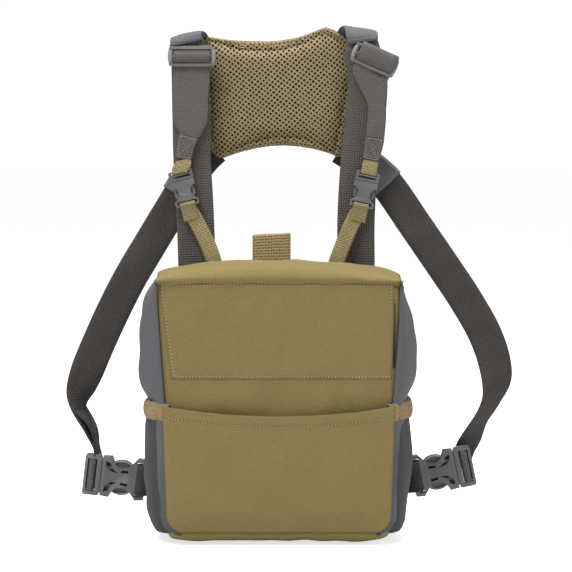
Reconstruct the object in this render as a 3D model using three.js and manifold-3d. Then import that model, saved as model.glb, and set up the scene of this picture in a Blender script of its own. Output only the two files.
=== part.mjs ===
// A binocular harness pack: a padded chest pouch with a front-hinged lid, hung from a webbing
// harness that meets a spacer-mesh pad between the shoulder blades.
// Millimetres, +Z up, +Y towards the wearer, origin at the centre of the pouch's base.
import * as THREE from "three";
import Module from "manifold-3d";

const wasm = await Module();
wasm.setup();

// ---- Driving dimensions -------------------------------------------------------------------

const SHOULDER_WEBBING = 30;
const SIDE_WEBBING = 27;
const TETHER_WEBBING = 12.5;
const WEBBING_THICKNESS = 1.4;
const SIDE_STRAP_STEPS = 40; // the side straps' patches cover whole steps of this run
const GAP = 0.3; // air left between pieces that touch on the real object

const POUCH = {
  halfWidthBase: 86,
  halfWidthTop: 91,
  wallBottom: 4,
  wallTop: 196,
  frontY: -45.3, // outer face of the front wall
  backY: 45.5, // outer face of the back wall
  skin: 2, // fabric and lining of a wall
  foam: 5.5,
};
const POCKET_MOUTH = 95; // height of the front pocket's mouth at its middle
const SIDE_POCKET_TOP = 90;
const BINDING_HEIGHT = 12;
const LID = { frontY: -45, rearY: 33, halfWidth: 94.8, hingeZ: 197, thickness: 2.2 };
const PAD = { meshY: 66, meshThickness: 4, foamThickness: 4.7, coverThickness: 1.5 };
const BUCKLE_TO_TETHER_SCALE = 0.58; // the tether buckles are the same pattern, made smaller

const group = new THREE.Group();

// ---- Materials ----------------------------------------------------------------------------

const material = (color, roughness, metalness = 0) =>
  new THREE.MeshStandardMaterial({ color, roughness, metalness });
const TAN_FABRIC = material(0x94854f, 0.9);
const TAN_WEBBING = material(0x9c8a55, 0.85);
const TAN_MESH = material(0x8f7c54, 0.9);
const GREY_FABRIC = material(0x65656b, 0.75);
const GREY_WEBBING = material(0x615e5c, 0.85);
const DARK_WEBBING = material(0x47433f, 0.85);
const FOAM = material(0x2e2e30, 0.95);
const BOARD = material(0xd8d8d4, 0.6);
const PLASTIC = material(0x6f7073, 0.5);
const MAGNET = material(0xb8b8bc, 0.3, 1);

// ---- Geometry helpers ---------------------------------------------------------------------

const vec = (p) => new THREE.Vector3(p[0], p[1], p[2]);

function place(name, geometry, finish, parent = group) {
  const mesh = new THREE.Mesh(geometry, finish);
  mesh.name = name;
  parent.add(mesh);
  return mesh;
}

function indexed(positions, triangles) {
  const geometry = new THREE.BufferGeometry();
  geometry.setAttribute("position", new THREE.Float32BufferAttribute(positions, 3));
  geometry.setIndex(triangles);
  return geometry;
}

// A closed solid between an outer and an inner grid of points; both take u and v from 0 to 1.
function sheet(columns, rows, outer, inner) {
  const positions = [];
  const triangles = [];
  const wide = columns + 1;
  const layer = wide * (rows + 1);
  for (const side of [outer, inner])
    for (let j = 0; j <= rows; j++)
      for (let i = 0; i <= columns; i++) positions.push(...side(i / columns, j / rows));
  const quad = (a, b, c, d) => triangles.push(a, b, c, a, c, d);
  const at = (i, j, k) => k * layer + j * wide + i;
  for (let j = 0; j < rows; j++)
    for (let i = 0; i < columns; i++) {
      quad(at(i, j, 0), at(i + 1, j, 0), at(i + 1, j + 1, 0), at(i, j + 1, 0));
      quad(at(i, j, 1), at(i, j + 1, 1), at(i + 1, j + 1, 1), at(i + 1, j, 1));
    }
  for (let i = 0; i < columns; i++) {
    quad(at(i, 0, 0), at(i, 0, 1), at(i + 1, 0, 1), at(i + 1, 0, 0));
    quad(at(i, rows, 0), at(i + 1, rows, 0), at(i + 1, rows, 1), at(i, rows, 1));
  }
  for (let j = 0; j < rows; j++) {
    quad(at(0, j, 0), at(0, j + 1, 0), at(0, j + 1, 1), at(0, j, 1));
    quad(at(columns, j, 0), at(columns, j, 1), at(columns, j + 1, 1), at(columns, j + 1, 0));
  }
  return outwards(indexed(positions, triangles));
}

// Turns every face round if the mesh encloses a negative volume.
function outwards(geometry) {
  const p = geometry.attributes.position;
  const index = geometry.index.array;
  const [a, b, c] = [new THREE.Vector3(), new THREE.Vector3(), new THREE.Vector3()];
  let volume = 0;
  for (let i = 0; i < index.length; i += 3) {
    a.fromBufferAttribute(p, index[i]);
    b.fromBufferAttribute(p, index[i + 1]);
    c.fromBufferAttribute(p, index[i + 2]);
    volume += a.dot(b.cross(c));
  }
  if (volume < 0)
    for (let i = 0; i < index.length; i += 3)
      [index[i + 1], index[i + 2]] = [index[i + 2], index[i + 1]];
  return geometry;
}

// A band of webbing along `points`, smoothed unless `segments` is 0. `across` gives the width
// direction and `width` the width, once or per point. `from` and `to` pick a part of the run.
// A `sheared` band keeps its width direction where the run isn't square to it.
function strap({
  points,
  across = [[1, 0, 0]],
  width,
  thickness = WEBBING_THICKNESS,
  segments = 24,
  from = 0,
  to = 1,
  sheared = false,
}) {
  const widths = Array.isArray(width) ? width : points.map(() => width);
  const turns = across.length === 1 ? points.map(() => across[0]) : across;
  const last = points.length - 1;
  const curve = new THREE.CatmullRomCurve3(points.map(vec), false, "centripetal");
  const count = segments || last;
  const rings = [];
  for (let k = 0; k <= count; k++) {
    const along = from + (to - from) * (k / count);
    const i = Math.min(last - 1, Math.floor(along * last));
    const share = along * last - i;
    const centre = segments ? curve.getPoint(along) : vec(points[k]);
    const tangent = segments
      ? curve.getTangent(along)
      : vec(points[Math.min(last, k + 1)]).sub(vec(points[Math.max(0, k - 1)]));
    tangent.normalize();
    const side = vec(turns[i]).lerp(vec(turns[i + 1]), share);
    if (!sheared) side.addScaledVector(tangent, -side.dot(tangent));
    side.normalize();
    const normal = new THREE.Vector3().crossVectors(side, tangent).normalize();
    const half = THREE.MathUtils.lerp(widths[i], widths[i + 1], share) / 2;
    side.multiplyScalar(half);
    normal.multiplyScalar(thickness / 2);
    rings.push({ centre, side, normal });
  }
  const corner = (sign) => (u, v) => {
    const ring = rings[Math.round(v * count)];
    const point = ring.centre.clone().addScaledVector(ring.side, 2 * u - 1);
    return point.addScaledVector(ring.normal, sign).toArray();
  };
  return sheet(1, count, corner(1), corner(-1));
}

// Straight-line interpolation in a short table of [height, value] pairs.
function tableAt(table, z) {
  const next = Math.max(1, table.findIndex(([height]) => height >= z));
  const [z0, v0] = table[next - 1];
  const [z1, v1] = table[next];
  return v0 + (v1 - v0) * THREE.MathUtils.clamp((z - z0) / (z1 - z0), 0, 1);
}

// The shape as straight edges, without the repeated point where an outline meets its start.
function straightened(shape, curveSegments) {
  const points = shape.extractPoints(curveSegments);
  const distinct = (loop) =>
    loop.filter((p, i) => p.distanceTo(loop[(i + 1) % loop.length]) > 1e-3);
  const clean = new THREE.Shape(distinct(points.shape));
  clean.holes = points.holes.map((hole) => new THREE.Path(distinct(hole)));
  return clean;
}

const extrude = (shape, depth, curveSegments) =>
  new THREE.ExtrudeGeometry(straightened(shape, curveSegments), { depth, bevelEnabled: false });

// A flat plate cut from a shape drawn in X and Z, standing between y0 and y1.
function plate(shape, y0, y1, curveSegments = 8) {
  return extrude(shape, y1 - y0, curveSegments).rotateX(Math.PI / 2).translate(0, y1, 0);
}

// A flat board cut from a shape drawn in X and Y, lying between z0 and z1.
const board = (shape, z0, z1) => extrude(shape, z1 - z0, 6).translate(0, 0, z0);

function solid(geometry) {
  const corners = geometry.index ? geometry.toNonIndexed() : geometry;
  const mesh = new wasm.Mesh({
    numProp: 3,
    vertProperties: corners.attributes.position.array,
    triVerts: Uint32Array.from({ length: corners.attributes.position.count }, (_, i) => i),
  });
  mesh.merge();
  return new wasm.Manifold(mesh);
}

function geometryOf(manifold) {
  const mesh = manifold.getMesh();
  return indexed(Array.from(mesh.vertProperties), Array.from(mesh.triVerts));
}

function box(x0, x1, y0, y1, z0, z1) {
  const geometry = new THREE.BoxGeometry(x1 - x0, y1 - y0, z1 - z0);
  return geometry.translate((x0 + x1) / 2, (y0 + y1) / 2, (z0 + z1) / 2);
}

// ---- Pouch --------------------------------------------------------------------------------

const halfWidthAt = (z) =>
  THREE.MathUtils.mapLinear(z, 0, POUCH.wallTop, POUCH.halfWidthBase, POUCH.halfWidthTop);

// A wall outline that tapers to the base and has rounded bottom corners.
function wallShape(z0, z1, inset, corner, crown = 0) {
  const bottom = halfWidthAt(z0) - inset;
  const top = halfWidthAt(z1) - inset;
  const shape = new THREE.Shape();
  shape.moveTo(-bottom + corner, z0);
  shape.lineTo(bottom - corner, z0);
  shape.quadraticCurveTo(bottom, z0, bottom, z0 + corner);
  shape.lineTo(top, z1);
  if (crown) shape.quadraticCurveTo(0, z1 + 2 * crown, -top, z1);
  else shape.lineTo(-top, z1);
  shape.lineTo(-bottom, z0 + corner);
  shape.quadraticCurveTo(-bottom, z0, -bottom + corner, z0);
  return shape;
}

function addWalls() {
  const { wallBottom, wallTop, frontY, backY, skin, foam } = POUCH;
  const corner = 16;
  const front = wallShape(wallBottom, wallTop, 0, corner);
  const back = wallShape(wallBottom, 200, 0, corner, 4);
  const padding = wallShape(9, wallTop - 4, 7, 10);
  const frontFoamY = frontY + skin + GAP;
  const backFoamY = backY - skin - GAP;
  place("front_panel", plate(front, frontY, frontY + skin), TAN_FABRIC);
  place("front_foam", plate(padding, frontFoamY, frontFoamY + foam), FOAM);
  place("back_panel", plate(back, backY - skin, backY), TAN_FABRIC);
  place("back_foam", plate(padding, backFoamY - foam + 1, backFoamY), FOAM);
}

// How far a side wall bulges past the straight line between the front and back walls.
const BULGE = [
  [0, 6],
  [20, 10],
  [60, 11.5],
  [101, 11.5],
  [117, 18],
  [141, 19],
  [170, 12],
  [180, 5],
  [186, 2],
  [196, 0],
];

function sideSurface(sign, z0, z1, halfDepth, extra) {
  return (u, v) => {
    const z = z0 + (z1 - z0) * v;
    const y = halfDepth * (2 * u - 1);
    const swell = (tableAt(BULGE, z) + extra(z)) * (1 - (2 * u - 1) ** 2);
    return [sign * (halfWidthAt(z) + swell), y, z];
  };
}

const thinner = (surface, sign, amount) => (u, v) => {
  const [x, y, z] = surface(u, v);
  return [x - sign * amount, y, z];
};

function addSide(side, sign) {
  const gussetHalfDepth = 42.8;
  const pocketHalfDepth = 42.2;
  const gusset = sideSurface(sign, POUCH.wallBottom, POUCH.wallTop, gussetHalfDepth, () => 0);
  place(
    `${side}_gusset`,
    sheet(8, 16, thinner(gusset, sign, GAP), thinner(gusset, sign, POUCH.skin + GAP)),
    GREY_FABRIC,
  );
  // The stretch pocket stands off the gusset, most at its mouth, and is edged with elastic tape.
  const stand = (z) => 4 + 2 * (z / SIDE_POCKET_TOP);
  const pocket = sideSurface(sign, 6, SIDE_POCKET_TOP, pocketHalfDepth, stand);
  const outsideGusset = (surface, offset) => (u, v) => {
    const [x, y, z] = surface(u, v);
    return [x + sign * offset, y, z];
  };
  place(
    `${side}_side_pocket`,
    sheet(8, 8, outsideGusset(pocket, 1.6), outsideGusset(pocket, 0.5)),
    GREY_FABRIC,
  );
  const tapeBottom = SIDE_POCKET_TOP + GAP;
  const tape = sideSurface(sign, tapeBottom, tapeBottom + BINDING_HEIGHT, pocketHalfDepth, stand);
  place(
    `${side}_pocket_binding`,
    sheet(8, 2, outsideGusset(tape, 2.6), outsideGusset(tape, 0.5)),
    TAN_WEBBING,
  );
}

function addFrontPockets() {
  // The slip pocket bellies forward and its mouth droops a little in the middle.
  const seam = 7;
  const thickness = 1.6;
  const clearance = 1.2;
  const belly = 6;
  const droop = 7.5;
  const face = (inset) => (u, v) => {
    const across = 2 * u - 1;
    const z = seam + (POCKET_MOUTH + droop * across ** 2 - seam) * v;
    const cornerInset = v === 0 ? 10 : 0;
    const x = across * (halfWidthAt(z) - 1 - cornerInset);
    const swell = belly * (1 - across ** 4) * (0.35 + 0.65 * v) * Math.min(1, v * 6);
    return [x, POUCH.frontY - clearance - swell + inset - thickness, z];
  };
  place("front_pocket", sheet(16, 8, face(0), face(thickness)), TAN_FABRIC);

  // The flat pocket above it: sewn on three sides, open along part of its right side.
  const outline = new THREE.Shape();
  outline.moveTo(-83, 123);
  outline.lineTo(88, 123);
  outline.lineTo(90, 194);
  outline.lineTo(-88, 194);
  place(
    "upper_front_pocket",
    plate(outline, POUCH.frontY - GAP - 1.6, POUCH.frontY - GAP),
    TAN_FABRIC,
  );
}

function roundedRectangle(halfX, halfY, radius) {
  const shape = new THREE.Shape();
  shape.moveTo(-halfX + radius, -halfY);
  shape.lineTo(halfX - radius, -halfY);
  shape.quadraticCurveTo(halfX, -halfY, halfX, -halfY + radius);
  shape.lineTo(halfX, halfY - radius);
  shape.quadraticCurveTo(halfX, halfY, halfX - radius, halfY);
  shape.lineTo(-halfX + radius, halfY);
  shape.quadraticCurveTo(-halfX, halfY, -halfX, halfY - radius);
  shape.lineTo(-halfX, -halfY + radius);
  shape.quadraticCurveTo(-halfX, -halfY, -halfX + radius, -halfY);
  return shape;
}

function addBase() {
  place("base_panel", board(roundedRectangle(80, 42, 12), 0, 3.5), TAN_FABRIC);
  place("base_foam", board(roundedRectangle(76, 36, 8), 3.8, 8.6), FOAM);
}

function addComfortPad() {
  const shape = wallShape(14, 134, 16, 14);
  place("comfort_pad", plate(shape, POUCH.backY + GAP, POUCH.backY + 8), TAN_MESH);
}

function disc(radius, y0, y1, x, z) {
  const geometry = new THREE.CylinderGeometry(radius, radius, y1 - y0, 24);
  return geometry.translate(x, (y0 + y1) / 2, z);
}

// ---- Lid ----------------------------------------------------------------------------------

function lidTopSurface(u, v) {
  const across = 2 * u - 1;
  const y = LID.frontY + (LID.rearY - LID.frontY) * v;
  const rise = 7.5 * Math.sin((Math.PI / 2) * Math.min(1, v * 2.2)); // rounded front edge
  const crown = 3.5 * (1 - across ** 2) * (0.3 + 0.7 * v);
  const shoulder = -4 * across ** 8; // the corners turn down
  const top = LID.hingeZ + 3.2 + rise * (1 - 0.35 * across ** 6);
  return [across * LID.halfWidth, y, top + crown + shoulder * v];
}

function addLid() {
  const drop = (u, v) => {
    const [x, y, z] = lidTopSurface(u, v);
    return [x, y, z - LID.thickness];
  };
  place("lid_top", sheet(16, 12, lidTopSurface, drop), TAN_FABRIC);
  place("lid_stiffener", board(roundedRectangle(78, 30, 8), 200, 202).translate(0, -2, 0), BOARD);
  place("lid_rear_lip", box(-74, 74, 31.5, 33, 180, 205), TAN_FABRIC);
  place("lid_magnet", disc(7, 33.3, 35, 0, 188), MAGNET);
  const wing = new THREE.Shape();
  wing.moveTo(-38, 198.6);
  wing.quadraticCurveTo(-34, 185, -20, 184);
  wing.lineTo(14, 184);
  wing.quadraticCurveTo(28, 185, 30, 198.6);
  for (const [side, sign] of [["left", -1], ["right", 1]]) {
    const geometry = plate(wing, 0, 1.6).rotateZ(Math.PI / 2);
    geometry.translate(sign * 95.9 + 0.8, 0, 0);
    place(`lid_${side}_wing`, geometry, GREY_FABRIC);
  }
  place(
    "pull_tab",
    strap({
      points: [[-6, 34.9, 199], [-6, 35.3, 212], [-6, 35, 222], [-6, 34.4, 229.5]],
      width: [SHOULDER_WEBBING, SHOULDER_WEBBING, 30.5, 31],
      thickness: 2.8,
      segments: 6,
    }),
    TAN_WEBBING,
  );
}

// ---- Harness webbing ----------------------------------------------------------------------

// The two sides hang differently, so each has its own run of points.
const HARNESS = {
  left: {
    shoulder: [
      [-65, 47, 142],
      [-65.5, 47.2, 180],
      [-66, 48, 207],
      [-67.8, 49, 257],
      [-69.7, 49.6, 289],
      [-70.5, 50.2, 330],
      [-71, 50.2, 372],
      [-70.5, 50.2, 384],
    ],
    wing: {
      points: [
        [-71.5, 46, 380.5],
        [-71, 46.3, 386],
        [-69, 52, 391.6],
        [-65, 62, 393.6],
        [-61, 75, 391],
        [-59, 79, 383],
        [-58, 79.2, 372],
      ],
      width: [28, 28, 28, 27, 26, 26, 26],
    },
    slider: { centre: [-69.4, 42.2, 371.5], tilt: 0 },
    lead: [[-70.3, 48.1, 385.5], [-70.3, 48, 379.2]],
    elastic: {
      points: [
        [-70, 44.4, 352], [-70.6, 43.4, 333], [-70.8, 42.6, 320],
        [-71.2, 42.2, 310], [-74.6, 41.8, 301], [-76.3, 41.8, 290],
      ],
      width: [29, 28.5, 27, 16, 12.5, 13],
    },
    loop: [[-77.6, 41.8, 287.6], [-78, 42, 285.9], [-78.4, 42, 284.2]],
    tether: { mouth: [-77.5, 42, 273], angle: 76.4 },
    webbing: [
      [-72.1, 41.5, 250.6], [-66, 41, 240], [-57, 39.6, 223],
      [-51.4, 37.4, 207], [-49.5, 36.55, 196], [-48, 36.55, 168],
    ],
    side: {
      points: [
        [-46, 80.2, 304],
        [-60, 79.4, 291],
        [-70.5, 71, 277],
        [-80.5, 63, 260],
        [-101.9, 58, 224.6],
        [-121, 55, 192.4],
        [-137.2, 53, 160],
        [-151.4, 51.5, 127.7],
        [-160.5, 50, 103],
        [-162, 49.6, 90],
        [-158, 50, 76],
        [-150.5, 51, 58],
      ],
      across: [
        [0.6, 0, -0.8], [0.6, 0.1, -0.8], [0.7, 0.2, -0.6], [1, 0.1, -0.3], [1, 0, 0], [1, 0, 0],
        [1, 0, 0], [1, 0, 0], [0.8, 0.6, 0], [0.35, 0.95, 0], [0.15, 1, 0], [0.12, 1, 0],
      ],
    },
    patch: { from: 9, to: 12 },
    buckle: { mouth: [-143.7, 48, 35.2], angle: 6.7 },
  },
  right: {
    shoulder: [
      [61, 47, 142],
      [61.5, 47.2, 180],
      [61.7, 48, 207],
      [61.6, 49, 241],
      [64.3, 49.6, 289],
      [68, 50.2, 321],
      [70, 50.2, 352],
      [66.5, 50.2, 374],
      [63, 50.2, 384],
    ],
    wing: {
      points: [
        [61, 46, 384.5],
        [60, 46.3, 388],
        [57, 52, 392.4],
        [53, 62, 394.4],
        [48, 75, 392.5],
        [45, 79, 384],
        [44, 79.2, 373],
      ],
      width: [34, 34, 33, 31, 29, 28, 28],
    },
    slider: { centre: [76, 42.2, 368.6], tilt: 24 },
    lead: [[69.2, 48.3, 385.4], [73.2, 48, 381]],
    elastic: {
      points: [
        [75.5, 44.2, 348], [77.4, 43, 340.5], [78.2, 42.4, 331],
        [77.7, 42, 318], [76, 41.8, 303], [73, 41.8, 289],
      ],
      width: [24, 19, 14.5, 14, 15, 13.5],
    },
    loop: [[72.6, 41.8, 286.8], [72.1, 42, 284.5], [71.6, 42, 282]],
    tether: { mouth: [69.8, 42, 272], angle: 102.5 },
    webbing: [
      [63.6, 41.5, 249.2], [57.4, 41, 237], [50.9, 39.6, 222],
      [45.2, 37.4, 207], [42.5, 36.55, 196], [40.5, 36.55, 168],
    ],
    side: {
      points: [
        [42, 79.6, 303],
        [60, 79, 292],
        [74, 70, 281],
        [87, 63, 269],
        [107.8, 58, 239],
        [131.2, 55, 205],
        [150.5, 53, 176],
        [167, 51.5, 146],
        [175, 50.5, 117],
        [172.5, 51, 98],
        [163, 54, 77],
        [153.5, 59.2, 54.5],
      ],
      across: [
        [0.6, 0, 0.8], [0.6, -0.1, 0.8], [0.7, -0.2, 0.6], [1, -0.1, 0.3], [1, 0, 0], [1, 0, 0],
        [1, 0, 0], [1, 0, 0], [0.96, 0.28, 0], [0.7, 0.7, 0], [0.6, 0.8, 0], [0.96, 0.28, 0],
      ],
    },
    patch: { from: 8, to: 11 },
    buckle: { mouth: [142.6, 48, 41.2], angle: 168 },
  },
};

const SLIDER = { width: 37, bar: 2.2, slot: 4.6, thickness: 2, sideBar: 3, weave: 2.4 };

function addSlider(side) {
  const { centre, tilt } = HARNESS[side].slider;
  const { width, bar, slot, thickness, sideBar } = SLIDER;
  const height = 3 * bar + 2 * slot;
  const outline = roundedRectangle(width / 2, height / 2, 2.5);
  const halfSlot = width / 2 - sideBar;
  let frame = solid(plate(outline, -thickness / 2, thickness / 2, 4));
  for (const z of [-bar / 2 - slot, bar / 2])
    frame = frame.subtract(solid(box(-halfSlot, halfSlot, -thickness, thickness, z, z + slot)));
  const mesh = place(`${side}_slider`, geometryOf(frame), PLASTIC);
  mesh.position.set(...centre);
  mesh.rotation.y = THREE.MathUtils.degToRad(tilt);
}

// The elastic strap weaves behind, over and behind the slider's three bars, then hangs free
// and narrows to a folded end.
function addElasticStrap(side) {
  const { slider, elastic, lead } = HARNESS[side];
  const tilt = THREE.MathUtils.degToRad(slider.tilt);
  const down = [-Math.sin(tilt), 0, -Math.cos(tilt)];
  const bar = [Math.cos(tilt), 0, -Math.sin(tilt)];
  const straight = [1, 0, 0];
  const weave = [
    [-5.8, 1],
    [-1, -1],
    [1, -1],
    [5.8, 1],
    [9, 1],
  ].map(([along, turn]) => [
    slider.centre[0] + along * down[0],
    slider.centre[1] + turn * SLIDER.weave,
    slider.centre[2] + along * down[2],
  ]);
  const curve = new THREE.CatmullRomCurve3(elastic.points.map(vec), false, "centripetal");
  const hanging = curve.getPoints(12).map((p) => p.toArray());
  const widths = hanging.map((_, k) => {
    const t = (k / (hanging.length - 1)) * (elastic.width.length - 1);
    const i = Math.min(elastic.width.length - 2, Math.floor(t));
    return THREE.MathUtils.lerp(elastic.width[i], elastic.width[i + 1], t - i);
  });
  const full = SHOULDER_WEBBING;
  place(
    `${side}_elastic_strap`,
    strap({
      points: [...lead, ...weave, ...hanging],
      across: [...lead.map(() => straight), ...weave.map(() => bar), ...hanging.map(() => straight)],
      width: [...lead.map(() => full), ...weave.map(() => full), ...widths],
      thickness: 1.1,
      segments: 0,
      sheared: true,
    }),
    GREY_WEBBING,
  );
}

function addHarnessSide(side) {
  const h = HARNESS[side];
  place(`${side}_shoulder_strap`, strap({ points: h.shoulder, width: SHOULDER_WEBBING }), GREY_WEBBING);
  place(`${side}_top_wing`, strap({ ...h.wing, thickness: 1.4, segments: 16 }), GREY_FABRIC);
  addSlider(side);
  addElasticStrap(side);
  place(
    `${side}_tether_loop`,
    strap({ points: h.loop, width: TETHER_WEBBING, thickness: 2.4, segments: 3 }),
    TAN_WEBBING,
  );
  place(
    `${side}_tether_webbing`,
    strap({ points: h.webbing, width: TETHER_WEBBING, thickness: 1.3, segments: 18 }),
    TAN_WEBBING,
  );
  const sideStrap = strap({ ...h.side, width: SIDE_WEBBING, segments: SIDE_STRAP_STEPS });
  place(`${side}_side_strap`, sideStrap, DARK_WEBBING);
  addPatch(side);
}

// A folded sleeve round the side strap near the pad's lower corner, open at both ends.
function addPatch(side) {
  const { side: run, patch } = HARNESS[side];
  const band = (width, thickness, first, last) =>
    solid(
      strap({
        ...run,
        width,
        thickness,
        from: first / SIDE_STRAP_STEPS,
        to: last / SIDE_STRAP_STEPS,
        segments: last - first,
      }),
    );
  const outside = band(SIDE_WEBBING + 4, 6.2, patch.from, patch.to);
  const passage = band(SIDE_WEBBING + 1.6, 3.8, patch.from - 1, patch.to + 1);
  const sleeve = outside.subtract(passage);
  place(`${side}_strap_patch`, geometryOf(sleeve), GREY_FABRIC);
}

// ---- Back pad -----------------------------------------------------------------------------

// A four-cornered pad whose edges curve between the corners. `scale` shrinks it about its middle.
function padShape(scale) {
  const middle = [1, 340];
  const at = (x, z) => [middle[0] + (x - middle[0]) * scale, middle[1] + (z - middle[1]) * scale];
  const shape = new THREE.Shape();
  shape.moveTo(...at(-60, 385));
  shape.quadraticCurveTo(...at(-8, 373), ...at(34, 389));
  shape.quadraticCurveTo(...at(48, 382), ...at(62.5, 360));
  shape.quadraticCurveTo(...at(59, 330), ...at(50, 290));
  shape.quadraticCurveTo(...at(6, 311), ...at(-46, 290));
  shape.quadraticCurveTo(...at(-53, 291), ...at(-58, 300));
  shape.quadraticCurveTo(...at(-62, 340), ...at(-60, 385));
  return shape;
}

function addPad() {
  const { meshY, meshThickness, foamThickness, coverThickness } = PAD;
  const foamY = meshY + meshThickness + GAP;
  const coverY = foamY + foamThickness + GAP;
  place("pad_mesh", plate(padShape(1), meshY, meshY + meshThickness), TAN_MESH);
  place("pad_foam", plate(padShape(0.93), foamY, foamY + foamThickness), FOAM);
  place("pad_cover", plate(padShape(1), coverY, coverY + coverThickness), GREY_FABRIC);
}

// ---- Side-release buckles -----------------------------------------------------------------

// Drawn in its own frame: X runs from the male half's base (-) into the female half (+), Z is
// the buckle's width, Y its thickness, and X = 0 is the mouth where the halves meet.
const BUCKLE = {
  halfWidth: 16.5,
  thickness: 9,
  plate: 2, // thickness of each face plate
  bodyLength: 36,
  baseLength: 14,
  prongThickness: 4.2,
};

// One face plate of the female half: full width at the mouth, waisted where the prongs' press
// pads show, and flared again at the webbing bar.
function facePlateShape(windows) {
  const w = BUCKLE.halfWidth;
  const shape = new THREE.Shape();
  shape.moveTo(0.4, -w + 0.6);
  shape.lineTo(8, -w);
  shape.quadraticCurveTo(10, -9, 16, -8);
  shape.quadraticCurveTo(23, -9, 25, -12);
  shape.lineTo(29, -w - 0.5);
  shape.lineTo(BUCKLE.bodyLength, -w + 0.5);
  shape.lineTo(BUCKLE.bodyLength, w - 0.5);
  shape.lineTo(29, w + 0.5);
  shape.lineTo(25, 12);
  shape.quadraticCurveTo(23, 9, 16, 8);
  shape.quadraticCurveTo(10, 9, 8, w);
  shape.lineTo(0.4, w - 0.6);
  if (windows)
    for (const sign of [-1, 1]) {
      const drop = new THREE.Path();
      drop.moveTo(3, sign * 12);
      drop.quadraticCurveTo(7, sign * 12.6, 8, sign * 8.6);
      drop.quadraticCurveTo(9.6, sign * 5, 14, sign * 4);
      drop.quadraticCurveTo(4, sign * 3, 3, sign * 12);
      shape.holes.push(drop);
      const slit = new THREE.Path();
      slit.moveTo(15.8, sign * 4);
      slit.lineTo(22, sign * 4.2);
      slit.lineTo(21.5, sign * 6.4);
      slit.lineTo(16.2, sign * 5.8);
      shape.holes.push(slit);
    }
  return shape;
}

function femaleHalf(windows) {
  const { halfWidth: w, thickness, plate: skin, bodyLength } = BUCKLE;
  const half = thickness / 2;
  const near = solid(plate(facePlateShape(windows), -half, -half + skin));
  const far = solid(plate(facePlateShape(false), half - skin, half));
  const endBlock = solid(box(25.5, bodyLength, -half, half, -w - 0.4, w + 0.4));
  const cheeks = [-1, 1].map((sign) => {
    const [z0, z1] = [w - 1.8, w - 0.7];
    const cheek = box(0.6, 7.5, -half + 0.5, half - 0.5, z0, z1);
    return solid(sign > 0 ? cheek : cheek.rotateX(Math.PI));
  });
  const webbingSlot = solid(box(28.6, 32.8, -thickness, thickness, -13.8, 13.8));
  // The end block follows the face plate's outline.
  const outline = solid(plate(facePlateShape(false), -half, half));
  let body = near.add(far).add(endBlock.intersect(outline));
  for (const cheek of cheeks) body = body.add(cheek);
  return geometryOf(body.subtract(webbingSlot));
}

// The male half's base, with a ladder of bars for the strap, a shoulder that fills the mouth and
// the central guide tongue.
function maleHalf() {
  const { halfWidth: w, baseLength } = BUCKLE;
  const base = roundedRectangle(baseLength / 2 - 0.2, w, 2.5);
  const block = solid(plate(base, -3.6, 3.6).translate(-baseLength / 2, 0, 0));
  const shoulder = solid(box(-1.5, 2, -1.9, 1.9, -13.8, 13.8));
  const tongue = solid(box(-1.5, 20, -1.6, 1.6, -1.8, 1.8));
  const slot = (x0, x1) => solid(box(x0, x1, -5, 5, -13, 13));
  const body = block.add(shoulder).add(tongue);
  return geometryOf(body.subtract(slot(-11.6, -8.9)).subtract(slot(-6.7, -4)));
}

// One flexing prong: an arm that leaves the base beside the tongue and ends in an oval press pad
// with a shallow dish in each face.
function prong(sign) {
  const half = BUCKLE.prongThickness / 2;
  const arm = new THREE.Shape();
  arm.moveTo(2.4, sign * 5.4);
  arm.quadraticCurveTo(9, sign * 5.4, 14, sign * 7.6);
  arm.lineTo(12, sign * 10.4);
  arm.quadraticCurveTo(8, sign * 8.2, 2.4, sign * 8);
  const oval = (radiusX, radiusZ, y0, y1) => {
    const shape = new THREE.Shape();
    shape.absellipse(16.8, sign * 10.1, radiusX, radiusZ, 0, 2 * Math.PI);
    return solid(plate(shape, y0, y1, 9));
  };
  const dishDepth = 1.1;
  const body = solid(plate(arm, -half, half)).add(oval(8, 4.3, -half, half));
  const dished = body
    .subtract(oval(5.4, 2.3, half - dishDepth, half + 1))
    .subtract(oval(5.4, 2.3, -half - 1, -half + dishDepth));
  return geometryOf(dished);
}

function addBuckle({ prefix, names, mouth, angle, scale, windows, finish }) {
  const holder = new THREE.Group();
  holder.position.set(...mouth);
  holder.rotation.y = THREE.MathUtils.degToRad(angle);
  holder.scale.setScalar(scale);
  group.add(holder);
  place(`${prefix}_${names.female}`, femaleHalf(windows), finish, holder);
  place(`${prefix}_${names.male}`, maleHalf(), finish, holder);
  place(`${prefix}_${names.prongs[0]}`, prong(1), finish, holder);
  place(`${prefix}_${names.prongs[1]}`, prong(-1), finish, holder);
}

function addBuckles(side) {
  const upright = side === "left";
  addBuckle({
    prefix: side,
    names: {
      female: "buckle_female",
      male: "buckle_male",
      prongs: upright
        ? ["buckle_prong_upper", "buckle_prong_lower"]
        : ["buckle_prong_lower", "buckle_prong_upper"],
    },
    ...HARNESS[side].buckle,
    scale: 1,
    windows: true,
    finish: PLASTIC,
  });
  addBuckle({
    prefix: side,
    names: {
      female: "tether_female",
      male: "tether_male",
      prongs: ["tether_prong_right", "tether_prong_left"],
    },
    ...HARNESS[side].tether,
    scale: BUCKLE_TO_TETHER_SCALE,
    windows: false,
    finish: PLASTIC,
  });
}

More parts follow.
